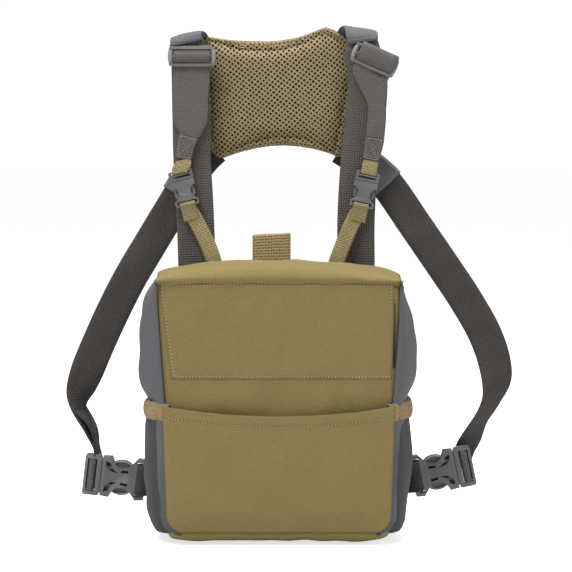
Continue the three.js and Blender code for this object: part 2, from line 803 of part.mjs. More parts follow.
// The webbing tab that ties the female half to the pouch's back seam.
function addBuckleTab(side, sign) {
  const { mouth, angle } = HARNESS[side].buckle;
  const turn = THREE.MathUtils.degToRad(angle);
  const along = (distance, y) => [
    mouth[0] + distance * Math.cos(turn),
    y,
    mouth[2] - distance * Math.sin(turn),
  ];
  const across = [Math.sin(turn), 0, Math.cos(turn)];
  const seam = [sign * (halfWidthAt(28) + 1), 47.6, 28];
  place(
    `${side}_buckle_tab`,
    strap({
      points: [along(31.2, 52), along(33.5, 53.8), along(38, 53), along(42, 50), seam],
      across: [across],
      width: 25,
      segments: 10,
    }),
    DARK_WEBBING,
  );
}

// ---- Assembly -----------------------------------------------------------------------------

addWalls();
addBase();
addFrontPockets();
addComfortPad();
place("rim_magnet", disc(7, 36.9, 38.4, 0, 188), MAGNET);
addLid();
addPad();
for (const [side, sign] of [["left", -1], ["right", 1]]) {
  addSide(side, sign);
  addHarnessSide(side);
  addBuckles(side);
  addBuckleTab(side, sign);
}

export default group;
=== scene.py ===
"""Binocular harness pack: fabric, webbing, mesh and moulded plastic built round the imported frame.

Metres throughout, in the frame of the CAD model: +X right, +Y towards the wearer, +Z up.
"""
import math
from itertools import combinations

import bmesh
import bpy
import numpy as np
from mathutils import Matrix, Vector
from mathutils.bvhtree import BVHTree


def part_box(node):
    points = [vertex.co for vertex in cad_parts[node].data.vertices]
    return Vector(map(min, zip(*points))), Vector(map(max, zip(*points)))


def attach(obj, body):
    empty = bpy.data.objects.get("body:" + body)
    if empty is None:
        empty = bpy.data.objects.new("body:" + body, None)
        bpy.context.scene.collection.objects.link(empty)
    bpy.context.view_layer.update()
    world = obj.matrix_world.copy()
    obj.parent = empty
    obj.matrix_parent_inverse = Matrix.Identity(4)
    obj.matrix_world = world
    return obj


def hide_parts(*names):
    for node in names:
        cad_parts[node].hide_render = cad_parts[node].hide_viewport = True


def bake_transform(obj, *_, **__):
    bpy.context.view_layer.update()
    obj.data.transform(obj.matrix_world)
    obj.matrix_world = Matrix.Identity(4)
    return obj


MM = 0.001
SIDES = (("left", -1), ("right", 1))

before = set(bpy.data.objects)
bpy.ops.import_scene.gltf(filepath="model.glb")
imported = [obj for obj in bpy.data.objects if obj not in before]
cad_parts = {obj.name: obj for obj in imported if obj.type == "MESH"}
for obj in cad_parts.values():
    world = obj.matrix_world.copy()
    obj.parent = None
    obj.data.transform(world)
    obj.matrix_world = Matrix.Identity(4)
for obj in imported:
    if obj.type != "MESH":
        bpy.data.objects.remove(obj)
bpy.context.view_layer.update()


# ---- Materials ------------------------------------------------------------------------------


class Shader:
    """A material's node tree, built with short calls."""

    def __init__(self, name):
        self.material = bpy.data.materials.new(name)
        self.material.use_nodes = True
        self.tree = self.material.node_tree
        self.bsdf = self.tree.nodes["Principled BSDF"]

    def set(self, **inputs):
        for name, value in inputs.items():
            self.bsdf.inputs[name.replace("_", " ")].default_value = value

    def node(self, kind, *inputs, **settings):
        made = self.tree.nodes.new("ShaderNode" + kind)
        for name, value in settings.items():
            setattr(made, name, value)
        for socket, value in zip(made.inputs, inputs):
            self.feed(socket, value)
        return made

    def feed(self, socket, value):
        if isinstance(value, bpy.types.NodeSocket):
            self.tree.links.new(value, socket)
        elif value is not None:
            socket.default_value = value

    def math(self, operation, a, b=None, c=None):
        return self.node("Math", a, b, c, operation=operation).outputs[0]

    def noise(self, vector, scale, detail=2.0, roughness=0.5):
        made = self.node("TexNoise")
        for name, value in (("Vector", vector), ("Scale", scale), ("Detail", detail)):
            self.feed(made.inputs[name], value)
        made.inputs["Roughness"].default_value = roughness
        return made.outputs["Fac"]

    def remap(self, value, low, high, to_low=0.0, to_high=1.0):
        made = self.node("MapRange", value, low, high, to_low, to_high)
        made.clamp = True
        return made.outputs[0]

    def mix(self, factor, a, b, blend="MIX"):
        made = self.node("Mix", data_type="RGBA", blend_type=blend)
        self.feed(made.inputs["Factor"], factor)
        self.feed(made.inputs["A"], a)
        self.feed(made.inputs["B"], b)
        return made.outputs["Result"]

    def tinted(self, color, tone):
        """A colour made lighter or darker by a tone round 1."""
        return self.mix(1.0, shade(color, 1.0), tone, "MULTIPLY")

    def varied(self, pattern, amount, tone):
        """The tone, moved up and down by a pattern that runs from 0 to 1."""
        return self.math("MULTIPLY_ADD", self.math("SUBTRACT", pattern, 0.5), amount, tone)

    def bump(self, height, distance):
        made = self.node("Bump")
        made.inputs["Strength"].default_value = 1.0
        made.inputs["Distance"].default_value = distance
        self.feed(made.inputs["Height"], height)
        self.feed(self.bsdf.inputs["Normal"], made.outputs[0])

    def color(self, value):
        self.feed(self.bsdf.inputs["Base Color"], value)


def shade(color, factor):
    return (color[0] * factor, color[1] * factor, color[2] * factor, 1.0)


def woven(name, color, pitch, depth=0.12, groove_shade=0.45, slub=0.14, aspect=1.0):
    """Woven cloth or webbing. `pitch` is the distance between threads in mm, `aspect` the
    pitch along the run over that across it, and `groove_shade` how dark the painted shade in the gaps
    between them is."""
    s = Shader(name)
    uv = s.node("UVMap").outputs[0]
    parts = s.node("SeparateXYZ", uv).outputs
    across = s.math("SINE", s.math("MULTIPLY", parts[0], math.pi / (pitch * MM)))
    along = s.math("SINE", s.math("MULTIPLY", parts[1], math.pi / (pitch * aspect * MM)))
    crown = s.math("ADD", s.math("ABSOLUTE", across), s.math("ABSOLUTE", along))
    over = s.math("MULTIPLY", across, along)
    height = s.math("MULTIPLY_ADD", over, 0.35, crown)
    stretched = s.node("Mapping", uv)
    stretched.inputs["Scale"].default_value = (220.0, 800.0, 1.0)
    threads = s.noise(stretched.outputs[0], 1.0, 3.0)
    blotches = s.noise(uv, 28.0, 3.0, 0.6)
    tone = s.varied(threads, 2 * slub, 1.0)
    tone = s.varied(blotches, 0.16, tone)
    # painted shade: the gaps between threads are darkened
    gap_shade = s.remap(crown, 0.15, 0.95, 1.0 - groove_shade, 1.0)
    s.color(s.tinted(color, s.math("MULTIPLY", tone, gap_shade)))
    s.set(Roughness=0.88, Sheen_Weight=0.06, Sheen_Roughness=0.5, Specular_IOR_Level=0.25)
    s.bsdf.inputs["Sheen Tint"].default_value = shade(color, 1.6)
    relief = s.math("MULTIPLY_ADD", threads, 0.5, height)
    s.bump(relief, depth * MM)
    return s.material


def knitted(name, color):
    """Smooth stretch fabric with a fine diagonal rib."""
    s = Shader(name)
    uv = s.node("UVMap").outputs[0]
    parts = s.node("SeparateXYZ", uv).outputs
    diagonal = s.math("MULTIPLY_ADD", parts[0], 1.0, s.math("MULTIPLY", parts[1], 0.6))
    rib = s.math("SINE", s.math("MULTIPLY", diagonal, 2 * math.pi / (0.7 * MM)))
    cloudy = s.noise(uv, 22.0, 3.0)
    grain = s.noise(uv, 2200.0, 2.0)
    tone = s.varied(cloudy, 0.18, 1.0)
    tone = s.varied(grain, 0.2, tone)
    s.color(s.tinted(color, tone))
    s.set(Roughness=0.7, Sheen_Weight=0.05, Sheen_Roughness=0.4, Specular_IOR_Level=0.35)
    s.bump(s.math("MULTIPLY_ADD", grain, 0.6, rib), 0.05 * MM)
    return s.material


def perforated(name, color, hole):
    """Spacer fabric seen from a distance: a staggered grid of holes, painted dark as the shade inside
    them.
    """
    s = Shader(name)
    uv = s.node("UVMap").outputs[0]
    parts = s.node("SeparateXYZ", uv).outputs
    first = s.math("SINE", s.math("MULTIPLY", s.math("ADD", parts[0], parts[1]), 900.0))
    second = s.math("SINE", s.math("MULTIPLY", s.math("SUBTRACT", parts[0], parts[1]), 900.0))
    depth = s.math("MULTIPLY", first, second)
    wall = s.remap(depth, 0.15, 0.5)
    fibres = s.noise(uv, 1500.0, 3.0)
    tone = s.math("MULTIPLY_ADD", fibres, 0.5, 0.75)
    # painted shade: the holes take the dark `hole` colour
    s.color(s.mix(wall, s.tinted(color, tone), shade(hole, 1.0)))
    s.set(Roughness=0.9, Sheen_Weight=0.05)
    s.bump(s.math("MULTIPLY_ADD", wall, -1.0, s.math("MULTIPLY", fibres, 0.3)), 0.5 * MM)
    return s.material


def yarn(name, color):
    """The fuzzy threads of spacer mesh and stitching."""
    s = Shader(name)
    place = s.node("TexCoord").outputs["Object"]
    fibres = s.noise(place, 1800.0, 3.0)
    cloudy = s.noise(place, 45.0, 2.0)
    tone = s.math("MULTIPLY_ADD", fibres, 0.5, s.math("MULTIPLY_ADD", cloudy, 0.3, 0.6))
    s.color(s.tinted(color, tone))
    s.set(Roughness=0.85, Sheen_Weight=0.05)
    s.bump(fibres, 0.15 * MM)
    return s.material


def moulded(name, color):
    """Satin glass-filled nylon, finely textured, a little paler where edges rub."""
    s = Shader(name)
    place = s.node("TexCoord").outputs["Object"]
    grain = s.noise(place, 2500.0, 2.0)
    cloudy = s.noise(place, 60.0, 3.0)
    edge = s.remap(s.node("NewGeometry").outputs["Pointiness"], 0.51, 0.58)
    rub = s.math("MULTIPLY", edge, s.remap(cloudy, 0.35, 0.65, 0.2, 0.8))
    tone = s.math("MULTIPLY_ADD", cloudy, 0.25, 0.88)
    s.color(s.mix(rub, s.tinted(color, tone), shade(color, 2.1)))
    s.feed(s.bsdf.inputs["Roughness"], s.remap(cloudy, 0.3, 0.7, 0.4, 0.55))
    s.bump(grain, 0.03 * MM)
    return s.material


def plain(name, color, roughness, metallic=0.0, grain=400.0, relief=0.05):
    """A hidden or simple material that still has a grain."""
    s = Shader(name)
    place = s.node("TexCoord").outputs["Object"]
    speck = s.noise(place, grain, 4.0)
    tone = s.math("MULTIPLY_ADD", speck, 0.3, 0.85)
    s.color(s.tinted(color, tone))
    s.set(Roughness=roughness, Metallic=metallic)
    s.bump(speck, relief * MM)
    return s.material


TAN = (0.222, 0.173, 0.066)
PALE_TAN = (0.300, 0.240, 0.118)
GREY = (0.100, 0.099, 0.108)
WARM_GREY = (0.105, 0.095, 0.088)
DARK = (0.055, 0.050, 0.046)

CANVAS = woven("canvas", TAN, 0.8, depth=0.12, groove_shade=0.35, slub=0.2)
# painted light: the base's canvas made paler and greener for the light it catches from below
LIT_BASE_CANVAS = woven("base_canvas_painted_light", (0.255, 0.225, 0.070), 0.55, depth=0.08, groove_shade=0.25)
KNIT = knitted("stretch_knit", GREY)
DARK_KNIT = knitted("pocket_knit", (0.047, 0.046, 0.051))
EDGE_KNIT = knitted("pocket_edge_knit", (0.085, 0.084, 0.091))
PALE_KNIT = knitted("pale_knit", (0.135, 0.135, 0.14))
LINING = knitted("lining", (0.045, 0.045, 0.048))
SHOULDER_WEB = woven("shoulder_webbing", WARM_GREY, 2.0, depth=0.4, groove_shade=0.75)
ELASTIC_WEB = woven("elastic_webbing", (0.12, 0.11, 0.102), 1.6, depth=0.3, groove_shade=0.6)
DARK_WEB = woven("side_webbing", DARK, 1.5, depth=0.25, groove_shade=0.6, aspect=1.4)
TAN_WEB = woven("tan_webbing", (0.345, 0.276, 0.136), 2.3, depth=0.4, groove_shade=0.6)
TETHER_WEB = woven("tether_webbing", PALE_TAN, 1.9, depth=0.35, groove_shade=0.6)
BINDING = woven("elastic_binding", (0.300, 0.225, 0.130), 1.1, depth=0.3, groove_shade=0.35, aspect=2.5)
MESH_YARN = yarn("mesh_yarn", (0.27, 0.21, 0.105))
# painted shade: dark yarn under the lattice, seen through its holes
MESH_HOLE_SHADE = yarn("mesh_hole_shade", (0.035, 0.022, 0.006))
THREAD = yarn("thread", (0.42, 0.345, 0.19))
# painted shade: the dark colour of the needle holes between stitches
NEEDLE_HOLE_SHADE = yarn("needle_hole_shade", (0.05, 0.036, 0.014))
GREY_THREAD = yarn("grey_thread", (0.34, 0.32, 0.30))
# the second colour is painted shade for the spacer fabric's holes
SPACER = perforated("spacer_fabric", (0.235, 0.18, 0.09), (0.03, 0.02, 0.006))
PLASTIC = moulded("buckle_plastic", (0.105, 0.104, 0.107))
SLIDER_PLASTIC = moulded("slider_plastic", (0.12, 0.118, 0.12))
# painted highlight: a paler copy of the buckle plastic for the rounded grips and raised rims
PLASTIC_HIGHLIGHT = moulded("plastic_painted_highlight", (0.20, 0.20, 0.205))
FOAM = plain("foam", (0.03, 0.03, 0.03), 0.95, grain=900.0, relief=0.2)
BOARD = plain("board", (0.68, 0.68, 0.65), 0.6)
NICKEL = plain("nickel", (0.62, 0.61, 0.60), 0.25, metallic=1.0, relief=0.01)


# ---- Mesh helpers ---------------------------------------------------------------------------


def add_mesh(name, points, faces, materials, uv=None):
    """A smooth-shaded object in metres; `uv` holds one pair per vertex, in metres too."""
    mesh = bpy.data.meshes.new(name)
    mesh.from_pydata(np.asarray(points, float).tolist(), [], faces)
    for material in materials if isinstance(materials, (list, tuple)) else [materials]:
        mesh.materials.append(material)
    if uv is not None:
        layer = mesh.uv_layers.new(name="UVMap")
        corner = np.zeros(len(mesh.loops), int)
        mesh.loops.foreach_get("vertex_index", corner)
        layer.data.foreach_set("uv", np.asarray(uv, np.float32)[corner].ravel())
    mesh.shade_smooth()
    piece = bpy.data.objects.new(name, mesh)
    bpy.context.scene.collection.objects.link(piece)
    return piece


def add_closed(name, points, faces, materials, uv=None):
    """An object whose faces enclose it, all turned outwards."""
    piece = add_mesh(name, points, faces, materials, uv)
    bm = bmesh.new()
    bm.from_mesh(piece.data)
    bmesh.ops.recalc_face_normals(bm, faces=bm.faces)
    bm.to_mesh(piece.data)
    bm.free()
    return piece


def tube_faces(rings, size, closed=False):
    """Quads between successive rings of `size` points; `closed` joins the last ring to the first."""
    faces = []
    for k in range(rings if closed else rings - 1):
        a, b = k * size, (k + 1) % rings * size
        for i in range(size):
            j = (i + 1) % size
            faces.append((a + i, a + j, b + j, b + i))
    return faces


def points_of(piece):
    """A piece's corners as rows of x, y and z in metres."""
    flat = np.zeros(len(piece.data.vertices) * 3)
    piece.data.vertices.foreach_get("co", flat)
    return flat.reshape(-1, 3)


def move_points(piece, points):
    piece.data.vertices.foreach_set("co", np.asarray(points, np.float32).ravel())
    piece.data.update()


def bake(piece):
    """Applies every modifier."""
    graph = bpy.context.evaluated_depsgraph_get()
    mesh = bpy.data.meshes.new_from_object(piece.evaluated_get(graph))
    piece.modifiers.clear()
    piece.data = mesh


def subdivide(piece, levels=1):
    piece.modifiers.new("round", "SUBSURF").levels = levels
    bake(piece)


def project_uv(piece):
    """Lays the weave over a piece from the side each face looks to."""
    mesh = piece.data
    layer = mesh.uv_layers.get("UVMap") or mesh.uv_layers.new(name="UVMap")
    for polygon in mesh.polygons:
        n = [abs(c) for c in polygon.normal]
        if n[1] >= n[0] and n[1] >= n[2]:
            first, second = 0, 2
        elif n[0] >= n[2]:
            first, second = 1, 2
        else:
            first, second = 0, 1
        for loop in polygon.loop_indices:
            co = mesh.vertices[mesh.loops[loop].vertex_index].co
            layer.data[loop].uv = (co[first], co[second])


def spaced(points, pitch, closed=False):
    """The same line with a point every `pitch` or a little more."""
    points = np.asarray(points, float)
    if closed:
        points = np.concatenate([points, points[:1]])
    steps = np.linalg.norm(np.diff(points, axis=0), axis=1)
    length = np.concatenate([[0], np.cumsum(steps)])
    at = np.linspace(0, length[-1], max(2, int(length[-1] / pitch) + 1))
    return np.stack([np.interp(at, length, points[:, k]) for k in range(3)], -1)


def rounded(points):
    """Cuts a line's corners three times, keeping its ends."""
    for _ in range(3):
        near, far = points[:-1], points[1:]
        cut = np.stack([near * 0.75 + far * 0.25, near * 0.25 + far * 0.75], 1)
        points = np.concatenate([points[:1], cut.reshape(-1, points.shape[1]), points[-1:]])
    return points


def unit(vectors):
    """Each vector at length 1."""
    length = np.linalg.norm(vectors, axis=-1, keepdims=True)
    return vectors / np.maximum(length, 1e-12)


def ripple(a, b, seed):
    """Smooth, repeatable unevenness between about -1 and 1, from two coordinates in metres."""
    rng = np.random.default_rng(seed)
    total = np.zeros(np.broadcast(a, b).shape)
    for _ in range(6):
        angle, phase = rng.uniform(0, 2 * math.pi, 2)
        length = rng.uniform(0.018, 0.07)
        along = a * math.cos(angle) + b * math.sin(angle)
        total = total + np.sin(along * 2 * math.pi / length + phase)
    return total / 3.2


def sheet(name, surface, columns, rows, thickness, material, inside=None, flip=False):
    """A closed piece of fabric. `surface(u, v)` takes arrays from 0 to 1 and gives the outer
    face; the inner face lies `thickness` behind it and can have a material of its own."""
    u, v = np.meshgrid(np.linspace(0, 1, columns + 1), np.linspace(0, 1, rows + 1))
    outer = np.stack(np.broadcast_arrays(*surface(u, v)), -1)
    normal = unit(np.cross(np.gradient(outer, axis=1), np.gradient(outer, axis=0)))
    if flip:
        normal = -normal
    inner = outer - normal * thickness
    across = np.linalg.norm(np.diff(outer, axis=1), axis=-1).sum(1).mean()
    along = np.linalg.norm(np.diff(outer, axis=0), axis=-1).sum(0).mean()
    uv = np.stack([u * across, v * along], -1).reshape(-1, 2)
    wide, layer = columns + 1, (columns + 1) * (rows + 1)
    faces = []

    def quad(*corners):
        """A face from (column, row, layer) corners, turned round where the sheet is flipped."""
        face = tuple(k * layer + j * wide + i for i, j, k in corners)
        faces.append(face[::-1] if flip else face)

    cells = [(i, j) for j in range(rows) for i in range(columns)]
    for i, j in cells:
        quad((i, j, 0), (i + 1, j, 0), (i + 1, j + 1, 0), (i, j + 1, 0))
    for i, j in cells:
        quad((i, j, 1), (i, j + 1, 1), (i + 1, j + 1, 1), (i + 1, j, 1))
    for i in range(columns):
        quad((i, 0, 0), (i, 0, 1), (i + 1, 0, 1), (i + 1, 0, 0))
        quad((i, rows, 0), (i + 1, rows, 0), (i + 1, rows, 1), (i, rows, 1))
    for j in range(rows):
        quad((0, j, 0), (0, j + 1, 0), (0, j + 1, 1), (0, j, 1))
        quad((columns, j, 0), (columns, j, 1), (columns, j + 1, 1), (columns, j + 1, 0))
    points = np.concatenate([outer.reshape(-1, 3), inner.reshape(-1, 3)])
    piece = add_mesh(name, points, faces, [material, inside or material], np.concatenate([uv, uv]))
    for index in range(len(cells), 2 * len(cells)):
        piece.data.polygons[index].material_index = 1
    return piece


# ---- Reading the frame ----------------------------------------------------------------------


def cad_mesh(node):
    """A CAD node's faces with their shared corners joined."""
    bm = bmesh.new()
    bm.from_mesh(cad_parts[node].data)
    bmesh.ops.remove_doubles(bm, verts=bm.verts, dist=1e-6)
    return bm


def outline(node, toward):
    """The ordered border of the flat face of a CAD plate that looks along `toward`."""
    bm = cad_mesh(node)
    toward = Vector(toward)
    bm.normal_update()
    best = max(f.calc_center_median().dot(toward) for f in bm.faces if f.normal.dot(toward) > 0.99)
    near = lambda f: f.normal.dot(toward) > 0.99 and f.calc_center_median().dot(toward) > best - 1e-5
    flat = {f for f in bm.faces if near(f)}
    rim = [e for e in bm.edges if sum(f in flat for f in e.link_faces) == 1]
    after = {}
    for edge in rim:
        for vert in edge.verts:
            after.setdefault(vert, []).append(edge)
    loop, edge = [rim[0].verts[0]], rim[0]
    while True:
        vert = edge.other_vert(loop[-1])
        if vert is loop[0]:
            break
        loop.append(vert)
        edge = next(e for e in after[vert] if e is not edge)
    points = np.array([v.co for v in loop])
    bm.free()
    return points


def border(node, toward, pitch=5 * MM):
    """The outline of a CAD plate, with an even pitch."""
    return spaced(outline(node, toward), pitch, closed=True)[:-1]


class Trace:
    """The run of a CAD strap: centres, width directions, face normals and half widths."""

    def __init__(self, centres, sides, half_widths):
        self.centres = np.asarray(centres, float)
        self.half = np.asarray(half_widths, float)
        tangents = unit(np.gradient(self.centres, axis=0))
        sides = np.asarray(sides, float)
        sides = sides - (sides * tangents).sum(-1, keepdims=True) * tangents
        self.sides = unit(sides)
        self.normals = unit(np.cross(self.sides, tangents))
        steps = np.linalg.norm(np.diff(self.centres, axis=0), axis=-1)
        self.length = np.concatenate([[0], np.cumsum(steps)])

    def resampled(self, spacing):
        count = max(4, int(self.length[-1] / spacing))
        at = np.linspace(0, self.length[-1], count + 1)
        pick = lambda a: np.stack([np.interp(at, self.length, a[:, k]) for k in range(3)], -1)
        return Trace(pick(self.centres), pick(self.sides), np.interp(at, self.length, self.half))

    def smoothed(self, rounds=4):
        centres, sides = self.centres.copy(), self.sides.copy()
        for _ in range(rounds):
            centres[1:-1] = (centres[:-2] + 2 * centres[1:-1] + centres[2:]) / 4
            sides[1:-1] = (sides[:-2] + 2 * sides[1:-1] + sides[2:]) / 4
        return Trace(centres, sides, self.half)

    def part(self, first, last):
        """Between two distances along the run; a negative one counts from the far end."""
        total = self.length[-1]
        first = first + total if first < 0 else first
        last = last + total if last <= 0 else last
        keep = (self.length >= first - 1e-9) & (self.length <= last + 1e-9)
        return Trace(self.centres[keep], self.sides[keep], self.half[keep])

    def lifted(self, distance):
        return Trace(self.centres + self.normals * distance, self.sides, self.half)


def trace(node, heading):
    """Follows a CAD strap ring by ring, starting at the end that `heading` points away from."""
    bm = cad_mesh(node)
    near = {v: [e.other_vert(v) for e in v.link_edges] for v in bm.verts}

    def layers(start):
        found, seen = [list(start)], set(start)
        while True:
            ahead = dict.fromkeys(n for v in found[-1] for n in near[v] if n not in seen)
            if not ahead:
                return found
            seen.update(ahead)
            found.append(list(ahead))

    last = layers([layers([next(iter(bm.verts))])[-1][0]])
    runs = []
    for corner in last[-1] + last[-2]:
        reach = dict.fromkeys(n for v in near[corner] for n in [v, *near[v]] if n is not corner)
        runs += [layers([corner, *mates]) for mates in combinations(reach, 3)]
    runs = [run for run in runs if all(len(ring) == 4 for ring in run)]
    runs = [np.array([[v.co for v in ring] for ring in run]) for run in runs]
    rings = min(runs, key=lambda run: np.linalg.norm(run - run.mean(1, keepdims=True), axis=-1).sum())
    bm.free()
    if (rings[-1].mean(0) - rings[0].mean(0)) @ np.array(heading) < 0:
        rings = rings[::-1]
    centres, sides, halves = [], [], []
    for ring in rings:
        middle = ring.mean(0)
        side = np.linalg.svd(ring - middle, full_matrices=False)[2][0]
        if sides and side @ sides[-1] < 0:
            side = -side
        centres.append(middle)
        sides.append(side)
        halves.append(np.abs((ring - middle) @ side).max())
    return Trace(centres, sides, halves)


def ribbon(name, path, thickness, material, wave=0.0, cup=0.0, seed=1):
    """Webbing along a traced run, with rounded selvedges. `wave` ripples it out of its plane
    and `cup` bows its width, both in metres."""
    columns = np.linspace(-1, 1, 7)
    top = [(s, 1.0) for s in columns * 0.94]
    profile = top + [(1.0, 0.0)] + [(s, -1.0) for s, _ in reversed(top)] + [(-1.0, 0.0)]
    s = np.array([p[0] for p in profile])
    h = np.array([p[1] for p in profile])
    count, size = len(path.centres), len(profile)
    bow = cup * (1 - s**2) + wave * ripple(path.length[:, None], s * 0.02, seed)
    offset = bow + h * thickness / 2
    points = (
        path.centres[:, None, :]
        + path.sides[:, None, :] * (path.half[:, None] * s)[..., None]
        + path.normals[:, None, :] * offset[..., None]
    )
    faces = tube_faces(count, size)
    faces.append(tuple(range(size))[::-1])
    faces.append(tuple((count - 1) * size + i for i in range(size)))
    uv = np.stack(
        [
            np.broadcast_to(path.half[:, None] * s, (count, size)),
            np.broadcast_to(path.length[:, None], (count, size)),
        ],
        -1,
    )
    return add_closed(name, points.reshape(-1, 3), faces, material, uv.reshape(-1, 2))


# ---- Padding, clinging and stitching --------------------------------------------------------


def slab(name, loop, axis, low, high, material, inset=0.0, edge=2 * MM):
    """A plate over an outline, between two heights along `axis`, with chamfered edges."""
    centre = loop.mean(0)
    flat = [k for k in range(3) if k != axis]
    inner = loop.copy()
    reach = loop[:, flat] - centre[flat]
    shrink = 1 - inset / np.linalg.norm(reach, axis=1, keepdims=True)
    inner[:, flat] = centre[flat] + reach * shrink
    small = inner.copy()
    small[:, flat] = centre[flat] + (inner[:, flat] - centre[flat]) * (
        1 - edge / np.linalg.norm(reach, axis=1, keepdims=True)
    )
    rings = []
    for ring, height in ((small, low), (inner, low + edge), (inner, high - edge), (small, high)):
        placed = ring.copy()
        placed[:, axis] = height
        rings.append(placed)
    n = len(loop)
    faces = [tuple(range(n)), tuple(3 * n + i for i in range(n)), *tube_faces(len(rings), n)]
    return add_closed(name, np.concatenate(rings), faces, material)


def puff(piece, cap, voxel=5 * MM):
    """Swells a closed form as stuffed cloth, letting no point move more than `cap`."""
    materials = list(piece.data.materials)
    remesh = piece.modifiers.new("remesh", "REMESH")
    remesh.mode = "VOXEL"
    remesh.voxel_size = voxel
    bake(piece)
    rest = points_of(piece)
    cloth = piece.modifiers.new("cloth", "CLOTH")
    settings = cloth.settings
    settings.use_pressure = True
    settings.uniform_pressure_force = 4.0
    settings.effector_weights.gravity = 0.0
    settings.mass = 0.3
    cloth.collision_settings.use_collision = False
    cloth.point_cache.frame_start = 1
    cloth.point_cache.frame_end = 20
    scene = bpy.context.scene
    for number in range(1, 21):
        scene.frame_set(number)
    graph = bpy.context.evaluated_depsgraph_get()
    moved = np.array([v.co for v in piece.evaluated_get(graph).data.vertices])
    piece.modifiers.clear()
    scene.frame_set(1)
    shift = moved - rest
    length = np.linalg.norm(shift, axis=1, keepdims=True)
    limited = cap * np.tanh(length / cap) / np.maximum(length, 1e-9)
    rest = rest + shift * limited
    move_points(piece, rest)
    smooth = piece.modifiers.new("smooth", "SMOOTH")
    smooth.factor = 0.6
    smooth.iterations = 4
    bake(piece)
    subdivide(piece)
    piece.data.materials.clear()
    for material in materials:
        piece.data.materials.append(material)
    piece.data.shade_smooth()
    project_uv(piece)


def line_inside(piece, direction):
    """Gives the faces that look along `direction` the second material."""
    for polygon in piece.data.polygons:
        polygon.material_index = int(polygon.normal.dot(Vector(direction)) > 0.5)


def dent(piece, amount, seed, axis=1):
    """Adds soft unevenness along one axis."""
    points = points_of(piece)
    first, second = [k for k in range(3) if k != axis]
    points[:, axis] += amount * ripple(points[:, first], points[:, second], seed)
    move_points(piece, points)


class Surface:
    """A finished piece that other things lie on."""

    def __init__(self, piece):
        points = [v.co.copy() for v in piece.data.vertices]
        self.tree = BVHTree.FromPolygons(points, [list(p.vertices) for p in piece.data.polygons])

    def meet(self, points, toward, off):
        """Each point pushed along `toward` onto the surface, then backed `off` from it. A point
        that misses goes to the nearest place on it."""
        toward = Vector(toward)
        run_up = 80 * MM
        out = []
        for point in np.asarray(points, float).reshape(-1, 3):
            hit = self.tree.ray_cast(Vector(point) - toward * run_up, toward)[0]
            hit = hit or self.tree.find_nearest(Vector(point))[0]
            out.append(hit - toward * off)
        return np.array(out)


def capsule(points, faces, centre, along, across, up, radius):
    """Adds a short rounded dash to the lists of points and faces."""
    around, rings = 6, ((-1.0, 0.15), (-0.7, 0.8), (0.0, 1.0), (0.7, 0.8), (1.0, 0.15))
    base = len(points)
    for where, size in rings:
        for k in range(around):
            turn = 2 * math.pi * k / around
            swing = across * math.cos(turn) + up * math.sin(turn)
            points.append(centre + along * where + swing * size * radius)
    faces += [tuple(base + i for i in face) for face in tube_faces(len(rings), around)]
    end = base + (len(rings) - 1) * around
    faces.append(tuple(base + k for k in range(around))[::-1])
    faces.append(tuple(end + k for k in range(around)))


def stitches(name, lines, facing, body, material=None, pitch=2.6 * MM, radius=0.36 * MM):
    """A row of thread dashes along each line, with a dark dash between each two: painted shade in the
    needle hole.
    """
    points, faces, holes = [], [], []
    facing = unit(np.array(facing, float))
    for line in lines:
        run = spaced(line, pitch)
        for start, end in zip(run[:-1], run[1:]):
            step = end - start
            across = unit(np.cross(step, facing))
            capsule(points, faces, (start + end) / 2, step * 0.32, across, facing, radius)
            holes += [0] * (len(faces) - len(holes))
            # a sunken dark dash, painted as the shade in the needle hole
            sunk = start - facing * 0.12 * MM
            capsule(points, faces, sunk, step * 0.17, across, facing, radius * 1.1)
            holes += [1] * (len(faces) - len(holes))
    piece = add_closed(name, np.array(points), faces, [material or THREAD, NEEDLE_HOLE_SHADE])
    piece.data.polygons.foreach_set("material_index", holes)
    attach(piece, body)


def settle(piece, body, slot, *nodes):
    """Rides a finished piece on its body, in place of the CAD nodes it stands for."""
    if nodes:
        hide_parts(*nodes)
    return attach(piece, body)


# ---- Pouch ----------------------------------------------------------------------------------

FRONT_Y = -45.3 * MM
WALL_TOP = 196 * MM
# Half widths in mm against height in mm: the front fabric's edge, then how far each side wall
# and each stretch pocket stands out.
FRONT_EDGE = ((0, 86.3), (100, 89.8), (196, 96.6))
GUSSET_REACH = {
    "left": (
        (0, 98), (20, 102), (60, 102), (103, 101), (110, 106.3), (118, 108.6), (130, 110), (146, 109.5),
        (166, 108.6), (178, 107.3), (186, 104.5), (192, 100), (196, 95),
    ),
    "right": (
        (0, 96), (20, 98), (60, 100), (103, 100), (110, 104), (118, 106), (130, 107), (146, 106.6),
        (166, 104.2), (172, 102.7), (180, 100.2), (188, 98.4), (196, 95),
    ),
}
POCKET_REACH = {
    "left": (
        (0, 99.5), (10, 101), (18, 104.5), (40, 105.5), (60, 105), (75, 104.2), (85, 105), (95, 102.5),
    ),
    "right": (
        (0, 97.5), (10, 98.7), (22, 100.3), (45, 103.5), (60, 104.2), (75, 103), (85, 101.9),
        (95, 100.8),
    ),
}


def reach(table, z):
    """A half width from one of the tables above, eased between its heights."""
    heights, values = np.array(table, float).T
    near = [np.interp(z / MM + d, heights, values) for d in (-4, -2, 0, 2, 4)]
    return sum(near) / len(near) * MM


def half_width(z):
    """Half the width of the pouch's front and back walls."""
    return 86 * MM + 5 * MM * z / WALL_TOP


def rounding(height, above):
    """How far a lower corner is cut back, from 1 at the bottom to 0 at `height` above it."""
    return np.clip(1 - above / height, 0, 1) ** 2.2


